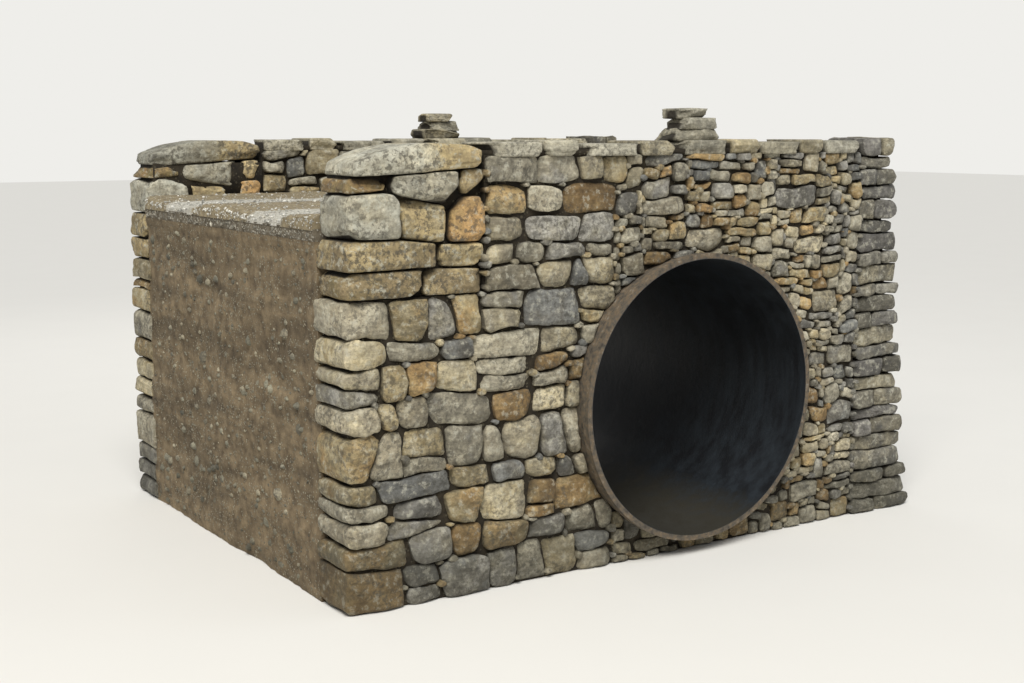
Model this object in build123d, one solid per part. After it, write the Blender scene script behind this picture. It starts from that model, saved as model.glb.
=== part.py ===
from build123d import *
from math import sin
import os

# Stone-faced driveway bridge over one round steel culvert pipe.
# Millimetres. X runs along the lane, Y across it along the pipe, Z up.
# The origin is on the base, under the pipe's axis and midway between the two headwalls.
# The front is the side of negative Y, and the rear headwall is its mirror image.

# Steel pipe
PIPE_BORE = 2000.0
PIPE_WALL = 12.0
PIPE_REACH = 120.0
END_RING_WIDTH = 60.0
END_RING_THICKNESS = 28.0

# Masonry and fill in plan
FACE_TO_FACE = 4000.0
HEADWALL_THICKNESS = 450.0
LEFT_REACH = 2800.0
RIGHT_REACH = 2100.0
RIGHT_END_BATTER = 300.0
RIGHT_END_WIDTH = 400.0
SILL_HALF_WIDTH = 700.0

# Levels
BED_UNDER_PIPE = 140.0
COVER_OVER_PIPE = 340.0
PARAPET_HEIGHT = 390.0
RIGHT_END_RISE = 110.0

# Lane
LANE_BED_THICKNESS = 80.0
LANE_SURFACE_THICKNESS = 70.0
TRACK_GAUGE = 1600.0
TRACK_WIDTH = 560.0
TRACK_DISH = 18.0
CENTRE_CROWN = 24.0
VERGE_RISE = 30.0

# Joints between the stretches of the parapet, along X from the pipe's axis
PARAPET_LEFT_JOINT = -650.0
PARAPET_RIGHT_JOINT = 550.0

# Left terminal of big blocks, measured down from the top of the parapet
TERMINAL_LENGTH = 1050.0
TERMINAL_DEPTH = 890.0
BLOCK_JOINT = 0.6
BLOCK_CHAMFER = 26.0

# Large rubble in the face left of the pipe: uneven courses of long stones with open joints
LOWER_COURSES = (270.0, 190.0, 250.0, 150.0, 290.0, 200.0, 230.0, 160.0, 260.0)
UPPER_COURSES = (180.0, 130.0, 190.0)
RUBBLE_LENGTHS = (430.0, 290.0, 370.0, 230.0, 500.0, 320.0, 260.0, 400.0, 310.0)
RUBBLE_SET_BACKS = (6.0, 24.0, 0.0, 16.0, 30.0, 10.0, 20.0)
RUBBLE_SLANT = 26.0
COURSE_WAVE = 24.0
COURSE_WAVE_LENGTH = 230.0
JOINT_WIDTH = 14.0
JOINT_DEPTH = 64.0
RUBBLE_ARRIS = 24.0

# Stack of flat stones through the right end of the wall
STACK_ROWS = 24
STACK_HEIGHTS = (96.0, 124.0, 88.0, 136.0, 104.0, 116.0, 80.0, 128.0)
STACK_TUCKS = (0.0, 40.0, 12.0, 54.0, 24.0)
STACK_SPLITS = (0.42, 0.0, 0.6, 0.0, 0.0, 0.35, 0.0)
STACK_NOSE = 26.0

# Flat stones on the parapets
CAP_JOINT = 18.0
CAP_CHAMFER = 14.0
CAP_OVERHANG = 20.0
LEFT_CAP_LENGTHS = (430.0, 300.0, 520.0, 360.0)
LEFT_CAP_THICKNESSES = (84.0, 96.0, 72.0, 90.0)
RIGHT_CAP_LENGTHS = (330.0, 460.0, 280.0, 500.0)
RIGHT_CAP_THICKNESSES = (98.0, 78.0, 94.0, 86.0)
RAISED_CENTRE = 90.0
RAISED_LENGTHS = (450.0, 420.0, 360.0, 300.0)
RAISED_DEPTHS = (440.0, 330.0, 290.0, 260.0)
RAISED_THICKNESSES = (92.0, 84.0, 74.0, 66.0)
RAISED_SHIFTS = (0.0, -12.0, 14.0, -20.0)

# Curved fit of the masonry and the fill round the pipe
PIPE_BEDDING_GAP = 0.3

# Big blocks of the terminal in front view, from its lower left corner, drawn for this length and depth
BLOCKS_LENGTH = 1050.0
BLOCKS_DEPTH = 890.0
BED_STONE = ((20, 0), (560, 0), (590, 185), (0, 175))
BED_CORNER_STONE = ((560, 0), (1050, 0), (1050, 170), (680, 182), (590, 185))
OCHRE_BLOCK = ((0, 175), (590, 185), (680, 182), (700, 340), (420, 372), (15, 380))
OCHRE_CORNER_BLOCK = ((680, 182), (1050, 170), (1050, 335), (760, 337), (700, 340))
SQUARE_BLOCK = ((15, 380), (420, 372), (400, 640), (330, 672), (25, 655))
WEDGE_BLOCK = ((420, 372), (700, 340), (760, 337), (775, 575), (400, 640))
ORANGE_BLOCK = ((760, 337), (1050, 335), (1050, 640), (850, 640), (775, 575))
BROWN_BLOCK = ((25, 655), (330, 672), (345, 770), (60, 760))
GREY_BLOCK = ((330, 672), (400, 640), (775, 575), (850, 640), (850, 800), (345, 770))
FILL_BLOCK = ((850, 640), (1050, 640), (1050, 812), (850, 800))
CAP_SLAB = (
    (60, 760),
    (345, 770),
    (850, 800),
    (1050, 812),
    (1050, 920),
    (900, 968),
    (520, 975),
    (270, 930),
    (70, 850),
)

# How far each of those blocks stands proud of the headwall's face
LOWER_BLOCKS = (
    (BED_STONE, 10.0),
    (BED_CORNER_STONE, -14.0),
    (OCHRE_BLOCK, 22.0),
    (OCHRE_CORNER_BLOCK, -10.0),
)
UPPER_BLOCKS = (
    (WEDGE_BLOCK, -18.0),
    (ORANGE_BLOCK, 12.0),
    (BROWN_BLOCK, 4.0),
    (FILL_BLOCK, -12.0),
)
SQUARE_BLOCK_PROUD = 36.0
GREY_BLOCK_PROUD = 30.0
CAP_SLAB_PROUD = 24.0

BORE_RADIUS = PIPE_BORE / 2
PIPE_RADIUS = BORE_RADIUS + PIPE_WALL
SEAT_RADIUS = PIPE_RADIUS + PIPE_BEDDING_GAP
AXIS_HEIGHT = BED_UNDER_PIPE + PIPE_RADIUS
LANE_LEVEL = AXIS_HEIGHT + PIPE_RADIUS + COVER_OVER_PIPE
LANE_BED_TOP = LANE_LEVEL - LANE_SURFACE_THICKNESS
FILL_TOP = LANE_BED_TOP - LANE_BED_THICKNESS
PARAPET_TOP = LANE_LEVEL + PARAPET_HEIGHT
FRONT_FACE = -FACE_TO_FACE / 2
FRONT_BACK = FRONT_FACE + HEADWALL_THICKNESS
RIGHT_WALL_END = RIGHT_REACH - RIGHT_END_WIDTH
TERMINAL_RIGHT = TERMINAL_LENGTH - LEFT_REACH
TERMINAL_BED = PARAPET_TOP - TERMINAL_DEPTH
PIPE_MOUTH = FRONT_FACE - PIPE_REACH
RAISED_LEFT = RAISED_CENTRE - RAISED_LENGTHS[0] / 2
RAISED_RIGHT = RAISED_CENTRE + RAISED_LENGTHS[0] / 2


def across(outline, near, far):
    """Prism of a front-view outline of X and Z points, from Y near to Y far."""
    face = make_face(Polyline(*[(x, near, z) for x, z in outline], close=True))
    return extrude(face, amount=far - near, dir=(0, 1, 0))


def along(outline, left, right):
    """Prism of an end-view outline, drawn as a closed wire at X left, to X right."""
    return extrude(make_face(outline), amount=right - left, dir=(1, 0, 0))


def slab(left, right, near, far, bottom, top):
    """Rectangular slab between six planes."""
    centre = ((left + right) / 2, (near + far) / 2, (bottom + top) / 2)
    return Pos(*centre) * Box(right - left, far - near, top - bottom)


def bar(radius, near, far):
    """Round bar on the pipe's axis."""
    return Pos(0, (near + far) / 2, AXIS_HEIGHT) * Rot(90, 0, 0) * Cylinder(radius, far - near)


def seated(solid):
    """The solid with the pipe's seat cut through it."""
    return solid - bar(SEAT_RADIUS, PIPE_MOUTH, -PIPE_MOUTH)


def rear(shape):
    """Mirror image of a front piece at the rear headwall."""
    return mirror(shape, about=Plane.XZ)


def bed_joint(x, row, level, is_edge):
    """Height of the wavy bed joint under a course, which is straight at the wall's edges."""
    return level if is_edge else level + COURSE_WAVE * sin(x / COURSE_WAVE_LENGTH + row * row)


def course(left, right, row, bottom, top, is_lowest, is_highest):
    """Front outlines of the stones of one course, their lengths stretched to fill it."""
    kinds = len(RUBBLE_LENGTHS)
    count = max(2, round((right - left) * kinds / sum(RUBBLE_LENGTHS)))
    start = row * (kinds // 2)
    lengths = [RUBBLE_LENGTHS[(start + k) % kinds] for k in range(count)]
    stretch = (right - left) / sum(lengths)
    joints = [left + stretch * sum(lengths[:k]) for k in range(count + 1)]
    slants = [RUBBLE_SLANT * sin(joint + row) for joint in joints]
    slants[0] = slants[-1] = 0
    outlines = []
    for k in range(count):
        low_left, low_right = joints[k] - slants[k], joints[k + 1] - slants[k + 1]
        high_left, high_right = joints[k] + slants[k], joints[k + 1] + slants[k + 1]
        outlines.append(
            (
                (low_left, bed_joint(low_left, row, bottom, is_lowest)),
                (low_right, bed_joint(low_right, row, bottom, is_lowest)),
                (high_right, bed_joint(high_right, row + 1, top, is_highest)),
                (high_left, bed_joint(high_left, row + 1, top, is_highest)),
            )
        )
    return outlines


def rubble(left, right, bottom, top, heights, first_row):
    """Front outlines of the stones of several courses, their heights stretched to fill the wall."""
    outlines = []
    stretch = (top - bottom) / sum(heights)
    for k, height in enumerate(heights):
        low = bottom + stretch * sum(heights[:k])
        is_highest = k == len(heights) - 1
        outlines += course(left, right, first_row + k, low, low + stretch * height, k == 0, is_highest)
    return outlines


def face_stone(outline, set_back, far):
    """Stone in the face with a worn arris, from its face to Y far."""
    near = FRONT_FACE + set_back
    face = make_face(Plane.XZ.offset(-near) * Polyline(*outline, close=True))
    inset = offset(face, amount=-JOINT_WIDTH / 2, kind=Kind.INTERSECTION)
    solid = extrude(inset, amount=far - near, dir=(0, 1, 0))
    return chamfer(solid.faces().sort_by(Axis.Y)[0].edges(), RUBBLE_ARRIS)


def left_wall():
    """Headwall left of the pipe, stepped down under the terminal's blocks, with large stones in its face."""
    end = JOINT_DEPTH - LEFT_REACH
    outline = (
        (end, 0),
        (-SILL_HALF_WIDTH, 0),
        (-SILL_HALF_WIDTH, LANE_LEVEL),
        (TERMINAL_RIGHT, LANE_LEVEL),
        (TERMINAL_RIGHT, TERMINAL_BED),
        (end, TERMINAL_BED),
    )
    heart = across(outline, FRONT_FACE + JOINT_DEPTH, FRONT_BACK)
    right = -SILL_HALF_WIDTH
    lower = rubble(-LEFT_REACH, right, 0, TERMINAL_BED, LOWER_COURSES, 0)
    upper = rubble(TERMINAL_RIGHT, right, TERMINAL_BED, LANE_LEVEL, UPPER_COURSES, len(LOWER_COURSES))
    stones = []
    for k, stone in enumerate(lower + upper):
        at_end = stone[0][0] == -LEFT_REACH
        far = FRONT_BACK if at_end else FRONT_FACE + 2 * JOINT_DEPTH
        stones.append(face_stone(stone, RUBBLE_SET_BACKS[k % len(RUBBLE_SET_BACKS)], far))
    return seated(heart.fuse(*stones))


def right_wall():
    """Headwall between the pipe and the stacked right end."""
    return seated(slab(SILL_HALF_WIDTH, RIGHT_WALL_END, FRONT_FACE, FRONT_BACK, 0, LANE_LEVEL))


def over_pipe(near, far, top):
    """Mass over the pipe's crown."""
    return seated(slab(-SILL_HALF_WIDTH, SILL_HALF_WIDTH, near, far, AXIS_HEIGHT, top))


def under_pipe(near, far):
    """Mass under the pipe's invert."""
    return seated(slab(-SILL_HALF_WIDTH, SILL_HALF_WIDTH, near, far, 0, AXIS_HEIGHT))


def stack_edge(level):
    """Battered line of the right end's side at a height."""
    return RIGHT_REACH + RIGHT_END_BATTER * max(0, 1 - level / PARAPET_TOP)


def stack_course(row, low, high):
    """Front outlines of one or two flat stones of the right end, the last with a worn nose."""
    edge = stack_edge(high) - STACK_TUCKS[row % len(STACK_TUCKS)]
    split = RIGHT_WALL_END + STACK_SPLITS[row % len(STACK_SPLITS)] * (edge - RIGHT_WALL_END)
    nose = (
        (split, low),
        (edge - STACK_NOSE, low),
        (edge, low + STACK_NOSE),
        (edge, high - STACK_NOSE),
        (edge - STACK_NOSE, high),
        (split, high),
    )
    if split == RIGHT_WALL_END:
        return [nose]
    return [((RIGHT_WALL_END, low), (split, low), (split, high), (RIGHT_WALL_END, high)), nose]


def right_end():
    """Stacked right end of the headwall, battered outwards to its foot, with ragged noses."""
    top = PARAPET_TOP + RIGHT_END_RISE
    heart_top = top - JOINT_DEPTH
    inset = max(STACK_TUCKS) + JOINT_DEPTH
    outline = (
        (RIGHT_WALL_END, 0),
        (stack_edge(0) - inset, 0),
        (stack_edge(heart_top) - inset, heart_top),
        (RIGHT_WALL_END, heart_top),
    )
    heights = [STACK_HEIGHTS[row % len(STACK_HEIGHTS)] for row in range(STACK_ROWS)]
    stretch = top / sum(heights)
    stones = []
    for row in range(STACK_ROWS):
        low = stretch * sum(heights[:row])
        set_back = RUBBLE_SET_BACKS[row % len(RUBBLE_SET_BACKS)]
        for stone in stack_course(row, low, low + stretch * heights[row]):
            stones.append(face_stone(stone, set_back, FRONT_BACK))
    return across(outline, FRONT_FACE + JOINT_DEPTH, FRONT_BACK).fuse(*stones)


def parapet(left, right):
    """Stretch of parapet between two joints."""
    return slab(left, right, FRONT_FACE, FRONT_BACK, LANE_LEVEL, PARAPET_TOP)


def block(outline, proud):
    """One big block through the headwall, with chamfered edges and a thin joint all round."""
    near = FRONT_FACE - proud
    along_wall = TERMINAL_LENGTH / BLOCKS_LENGTH
    upward = TERMINAL_DEPTH / BLOCKS_DEPTH
    points = [(x * along_wall - LEFT_REACH, z * upward + TERMINAL_BED) for x, z in outline]
    face = make_face(Plane.XZ.offset(-near) * Polyline(*points, close=True))
    inset = offset(face, amount=-BLOCK_JOINT / 2, kind=Kind.INTERSECTION)
    solid = extrude(inset, amount=FRONT_BACK - near, dir=(0, 1, 0))
    return chamfer(solid.edges(), BLOCK_CHAMFER)


def blocks(group):
    """Several big blocks of the terminal."""
    return Compound(children=[block(outline, proud) for outline, proud in group])


def cap_run(left, right, lengths, thicknesses):
    """Flat stones laid end to end on the parapet, their lengths stretched to fill the run."""
    stones = []
    stretch = (right - left - CAP_JOINT * (len(lengths) + 1)) / sum(lengths)
    near = FRONT_FACE - CAP_OVERHANG
    start = left + CAP_JOINT
    for length, thickness in zip(lengths, thicknesses):
        end = start + length * stretch
        stone = slab(start, end, near, FRONT_BACK, PARAPET_TOP, PARAPET_TOP + thickness)
        stones.append(chamfer(stone.edges(), CAP_CHAMFER))
        start = end + CAP_JOINT
    return stones


def cap_stones():
    """Flat stones on the parapet, each side of the raised stack."""
    left = cap_run(TERMINAL_RIGHT, RAISED_LEFT, LEFT_CAP_LENGTHS, LEFT_CAP_THICKNESSES)
    right = cap_run(RAISED_RIGHT, RIGHT_WALL_END, RIGHT_CAP_LENGTHS, RIGHT_CAP_THICKNESSES)
    return Compound(children=left + right)


def raised_stones():
    """Loose stack of flat stones over the pipe's crown."""
    stones = []
    bottom = PARAPET_TOP
    sizes = zip(RAISED_LENGTHS, RAISED_DEPTHS, RAISED_THICKNESSES, RAISED_SHIFTS)
    for length, depth, thickness, shift in sizes:
        middle = RAISED_CENTRE + shift
        near = FRONT_FACE + (HEADWALL_THICKNESS - depth) / 2
        stone = slab(middle - length / 2, middle + length / 2, near, near + depth, bottom, bottom + thickness)
        stones.append(chamfer(stone.edges(), CAP_CHAMFER))
        bottom += thickness + BLOCK_JOINT
    return Compound(children=stones)


def end_ring():
    """Flat bar rolled round the front end of the pipe."""
    far = PIPE_MOUTH + END_RING_WIDTH
    outer = bar(PIPE_RADIUS + PIPE_BEDDING_GAP + END_RING_THICKNESS, PIPE_MOUTH, far)
    return outer - bar(SEAT_RADIUS, PIPE_MOUTH, far)


def pipe():
    """Round steel pipe from mouth to mouth."""
    return bar(PIPE_RADIUS, PIPE_MOUTH, -PIPE_MOUTH) - bar(BORE_RADIUS, PIPE_MOUTH, -PIPE_MOUTH)


def wheel_track(centre):
    """Gravel strip worn to a shallow dish by the wheels."""
    near = centre - TRACK_WIDTH / 2
    far = centre + TRACK_WIDTH / 2
    rim = LANE_LEVEL
    lowest = (-LEFT_REACH, centre, rim - TRACK_DISH)
    dish = ThreePointArc((-LEFT_REACH, near, rim), lowest, (-LEFT_REACH, far, rim))
    sides = Polyline(
        (-LEFT_REACH, far, rim),
        (-LEFT_REACH, far, LANE_BED_TOP),
        (-LEFT_REACH, near, LANE_BED_TOP),
        (-LEFT_REACH, near, rim),
    )
    return along(dish + sides, -LEFT_REACH, RIGHT_REACH)


def centre_strip():
    """Crowned strip between the wheel tracks."""
    half = (TRACK_GAUGE - TRACK_WIDTH) / 2
    crown = (-LEFT_REACH, 0, LANE_LEVEL + CENTRE_CROWN)
    top = ThreePointArc((-LEFT_REACH, -half, LANE_LEVEL), crown, (-LEFT_REACH, half, LANE_LEVEL))
    sides = Polyline(
        (-LEFT_REACH, half, LANE_LEVEL),
        (-LEFT_REACH, half, LANE_BED_TOP),
        (-LEFT_REACH, -half, LANE_BED_TOP),
        (-LEFT_REACH, -half, LANE_LEVEL),
    )
    return along(top + sides, -LEFT_REACH, RIGHT_REACH)


def verge():
    """Strip between the front wheel track and the parapet, rising to the stone."""
    inner = -(TRACK_GAUGE + TRACK_WIDTH) / 2
    outline = Polyline(
        (-LEFT_REACH, FRONT_BACK, LANE_BED_TOP),
        (-LEFT_REACH, inner, LANE_BED_TOP),
        (-LEFT_REACH, inner, LANE_LEVEL),
        (-LEFT_REACH, FRONT_BACK, LANE_LEVEL + VERGE_RISE),
        close=True,
    )
    return along(outline, -LEFT_REACH, RIGHT_REACH)


def front_pieces():
    """Pieces of the front headwall by the ends of their names."""
    return {
        "left_wall": left_wall(),
        "right_wall": right_wall(),
        "right_end": right_end(),
        "spandrel": over_pipe(FRONT_FACE, FRONT_BACK, LANE_LEVEL),
        "sill": under_pipe(FRONT_FACE, FRONT_BACK),
        "left_parapet": parapet(TERMINAL_RIGHT, PARAPET_LEFT_JOINT),
        "middle_parapet": parapet(PARAPET_LEFT_JOINT, PARAPET_RIGHT_JOINT),
        "right_parapet": parapet(PARAPET_RIGHT_JOINT, RIGHT_WALL_END),
        "lower_end_blocks": blocks(LOWER_BLOCKS),
        "upper_end_blocks": blocks(UPPER_BLOCKS),
        "square_block": block(SQUARE_BLOCK, SQUARE_BLOCK_PROUD),
        "grey_block": block(GREY_BLOCK, GREY_BLOCK_PROUD),
        "end_cap_slab": block(CAP_SLAB, CAP_SLAB_PROUD),
        "cap_stones": cap_stones(),
        "raised_stones": raised_stones(),
        "pipe_ring": end_ring(),
        "verge": verge(),
        "wheel_track": wheel_track(-TRACK_GAUGE / 2),
    }


def middle_pieces():
    """Pieces between the headwalls, by their names."""
    near = FRONT_BACK
    far = -FRONT_BACK
    return {
        "culvert_pipe": pipe(),
        "left_fill": seated(slab(-LEFT_REACH, -SILL_HALF_WIDTH, near, far, 0, FILL_TOP)),
        "right_fill": seated(slab(SILL_HALF_WIDTH, RIGHT_REACH, near, far, 0, FILL_TOP)),
        "crown_fill": over_pipe(near, far, FILL_TOP),
        "pipe_bedding": under_pipe(near, far),
        "lane_bed": slab(-LEFT_REACH, RIGHT_REACH, near, far, FILL_TOP, LANE_BED_TOP),
        "centre_strip": centre_strip(),
    }


def main():
    """Write every piece of the bridge to its own file."""
    os.makedirs("parts", exist_ok=True)
    for name, shape in front_pieces().items():
        export_step(shape, f"parts/front_{name}.step")
        export_step(rear(shape), f"parts/rear_{name}.step")
    for name, shape in middle_pieces().items():
        export_step(shape, f"parts/{name}.step")


main()
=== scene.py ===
"""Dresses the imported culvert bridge: rubble headwalls, big end blocks, steel pipe and gravel lane.

Metres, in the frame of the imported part. X runs along the lane, Y across it along the pipe, Z up.
"""

from collections.abc import Callable, Sequence
from dataclasses import dataclass, field
from enum import Enum
from functools import partial
from itertools import product
import logging
import math
import random

import bmesh
import bpy
import numpy as np
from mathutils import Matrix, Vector


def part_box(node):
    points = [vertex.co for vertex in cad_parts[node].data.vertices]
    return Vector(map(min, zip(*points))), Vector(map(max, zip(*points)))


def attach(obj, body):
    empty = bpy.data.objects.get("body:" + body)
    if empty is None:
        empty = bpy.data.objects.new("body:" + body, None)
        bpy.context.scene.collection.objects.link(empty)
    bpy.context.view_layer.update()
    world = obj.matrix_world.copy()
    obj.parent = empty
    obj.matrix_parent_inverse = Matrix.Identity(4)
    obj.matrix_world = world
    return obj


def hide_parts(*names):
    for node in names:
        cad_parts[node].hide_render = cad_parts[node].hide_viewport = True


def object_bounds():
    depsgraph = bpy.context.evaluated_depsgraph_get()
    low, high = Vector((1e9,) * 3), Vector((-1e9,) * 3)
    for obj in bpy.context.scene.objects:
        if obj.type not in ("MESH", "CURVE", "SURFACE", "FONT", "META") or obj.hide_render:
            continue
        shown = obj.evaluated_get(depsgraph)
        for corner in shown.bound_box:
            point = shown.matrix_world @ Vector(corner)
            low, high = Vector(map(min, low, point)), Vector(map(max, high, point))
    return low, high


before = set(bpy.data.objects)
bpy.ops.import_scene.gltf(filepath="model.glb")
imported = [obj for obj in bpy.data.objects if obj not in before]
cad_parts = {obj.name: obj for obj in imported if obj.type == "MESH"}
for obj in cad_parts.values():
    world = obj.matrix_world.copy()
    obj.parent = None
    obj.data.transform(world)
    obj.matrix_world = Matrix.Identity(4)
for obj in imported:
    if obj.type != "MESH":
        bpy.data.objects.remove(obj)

START_OBJECTS = ("Cube", "Light", "Camera")
for start_object in START_OBJECTS:
    if start_object in bpy.data.objects:
        bpy.data.objects.remove(bpy.data.objects[start_object])
CAD_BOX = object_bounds()

LOG = logging.getLogger("bridge")
MM = 0.001
WELD = 0.05 * MM
INSIDE = 0.1 * MM
BODY = "root"
# What the points of a stone carry: its hue, its tone and how deep they lie in a joint
POINT_VALUES = ("kind", "tone", "recess")
# Material slots of a heap: its own stone or earth, and what packs it or lies in it
MAIN, PACKED = 0, 1

Colour = tuple[float, float, float, float]
Faces = Sequence[tuple[int, ...]]
Socket = bpy.types.NodeSocket
Source = bpy.types.Node | Socket | float | tuple[float, ...] | None
# add_node for one material, which takes the node's type, what goes into it and its settings
Adder = Callable[..., bpy.types.Node]


# Small tools for colour, shader nodes and noise


def linear(hex_colour: str) -> Colour:
    """Turns an sRGB hex colour to linear light.

    Args:
        hex_colour: six hex digits, such as "8f9781".

    Returns:
        Red, green, blue and alpha, linear.
    """
    parts = [int(hex_colour[i : i + 2], 16) / 255 for i in (0, 2, 4)]
    red, green, blue = (p / 12.92 if p <= 0.04045 else ((p + 0.055) / 1.055) ** 2.4 for p in parts)
    return red, green, blue, 1.0


def per_mm(size_mm: float) -> float:
    """Texture scale at which a pattern's lumps lie this many millimetres apart."""
    return 1 / (size_mm * MM)


def add_node(tree: bpy.types.NodeTree, kind: str, *values: Source, **named: Source | str | bool) -> bpy.types.Node:
    """Adds one shader node with its settings and links.

    Args:
        tree: the material's node tree.
        kind: the node's type, without the ShaderNode in front.
        *values: what goes into its inputs, in their order. A node stands for its first output.
        **named: inputs by name, with a capital and _ for a space, and settings in small letters.

    Returns:
        The new node.
    """
    node = tree.nodes.new("ShaderNode" + kind)
    inputs: dict[int | str, Source] = dict(enumerate(values))
    for name, value in named.items():
        if name[0].islower():
            setattr(node, name, value)
        else:
            inputs[name.replace("_", " ")] = value
    for key, value in inputs.items():
        source = value.outputs[0] if isinstance(value, bpy.types.Node) else value
        if isinstance(source, bpy.types.NodeSocket):
            tree.links.new(source, node.inputs[key])
        else:
            node.inputs[key].default_value = source
    return node


def small_stones(add: Adder, place: Socket, size_mm: float, scarce: Source) -> tuple[bpy.types.Node, Socket]:
    """Adds nodes for small stones of uneven shape and size, lying in the ground.

    Args:
        add: adds a node to the material.
        place: the place in space.
        size_mm: distance between the stones' middles.
        scarce: share of the places that have no stone.

    Returns:
        Where a stone shows, from 0 to 1, and a random value for each stone.
    """
    cells = add("TexVoronoi", place, Scale=per_mm(size_mm))
    drawn = add("SeparateXYZ", cells.outputs["Color"])
    rim = add("TexNoise", place, Scale=2.2 * per_mm(size_mm), Detail=4.0, Roughness=0.7)
    uneven = add("Math", rim, 0.5, cells.outputs["Distance"], operation="MULTIPLY_ADD")
    smaller = add("Math", drawn.outputs["Z"], 0.26, uneven, operation="MULTIPLY_ADD")
    inside = add("MapRange", smaller, 0.66, 0.76, 1.0, 0.0)
    chosen = add("Math", drawn.outputs["X"], scarce, operation="GREATER_THAN")
    shown = add("Math", chosen, inside, operation="MULTIPLY")
    return shown, drawn.outputs["Y"]


def smooth_noise(points: np.ndarray, size_mm: float, seed: int) -> np.ndarray:
    """Smooth random field over space.

    Args:
        points: places, one row each, in metres.
        size_mm: distance between the field's lumps.
        seed: picks one field out of many.

    Returns:
        One value from -1 to 1 for each place.
    """
    scaled = points / (size_mm * MM)
    base = np.floor(scaled).astype(np.int64)
    part = scaled - base
    part = part * part * (3 - 2 * part)
    total = np.zeros(len(points))
    for corner in product((0, 1), repeat=3):
        # Whole-number hash of the cell's corner, which gives the same value in every run
        x, y, z = (base + np.array(corner)).T
        mixed = x * 73856093 ^ y * 19349663 ^ z * 83492791 ^ (seed * 668265263 + 374761393)
        mixed &= 0xFFFFFFFF
        for factor, shift in ((2246822519, 15), (3266489917, 13)):
            mixed = ((mixed ^ (mixed >> shift)) * factor) & 0xFFFFFFFF
        value = ((mixed ^ (mixed >> 16)) & 0xFFFF) / 32767.5 - 1
        weight = np.prod(np.where(np.array(corner) == 1, part, 1 - part), axis=1)
        total += value * weight
    return total


def smoothstep(value: np.ndarray | float, low: float, high: float) -> np.ndarray:
    """Eases from 0 at low to 1 at high."""
    part = np.clip((np.asarray(value) - low) / (high - low), 0, 1)
    return part * part * (3 - 2 * part)


def node_mesh(name: str) -> tuple[np.ndarray, Faces]:
    """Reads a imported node's mesh.

    Args:
        name: the node.

    Returns:
        Its points in metres, and its faces.
    """
    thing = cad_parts[name]
    points = np.array([thing.matrix_world @ v.co for v in thing.data.vertices])
    return points, [tuple(p.vertices) for p in thing.data.polygons]


# Finishes, each named for what the real surface is


class Finish:
    """A surface that makes its material once and hands it out again."""

    name: str
    _made: dict[str, bpy.types.Material] = {}

    def build(self, add: Adder, place: Socket) -> bpy.types.Node:
        """Builds the shader from the place in space."""
        raise NotImplementedError

    def material(self) -> bpy.types.Material:
        """The finish's material, made on first use.

        Returns:
            The material, the same one on each call.
        """
        if self.name not in Finish._made:
            made = bpy.data.materials.new(self.name)
            made.use_nodes = True
            made.node_tree.nodes.clear()
            add = partial(add_node, made.node_tree)
            add("OutputMaterial", self.build(add, add("TexCoord").outputs["Object"]))
            Finish._made[self.name] = made
        return Finish._made[self.name]


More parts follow.
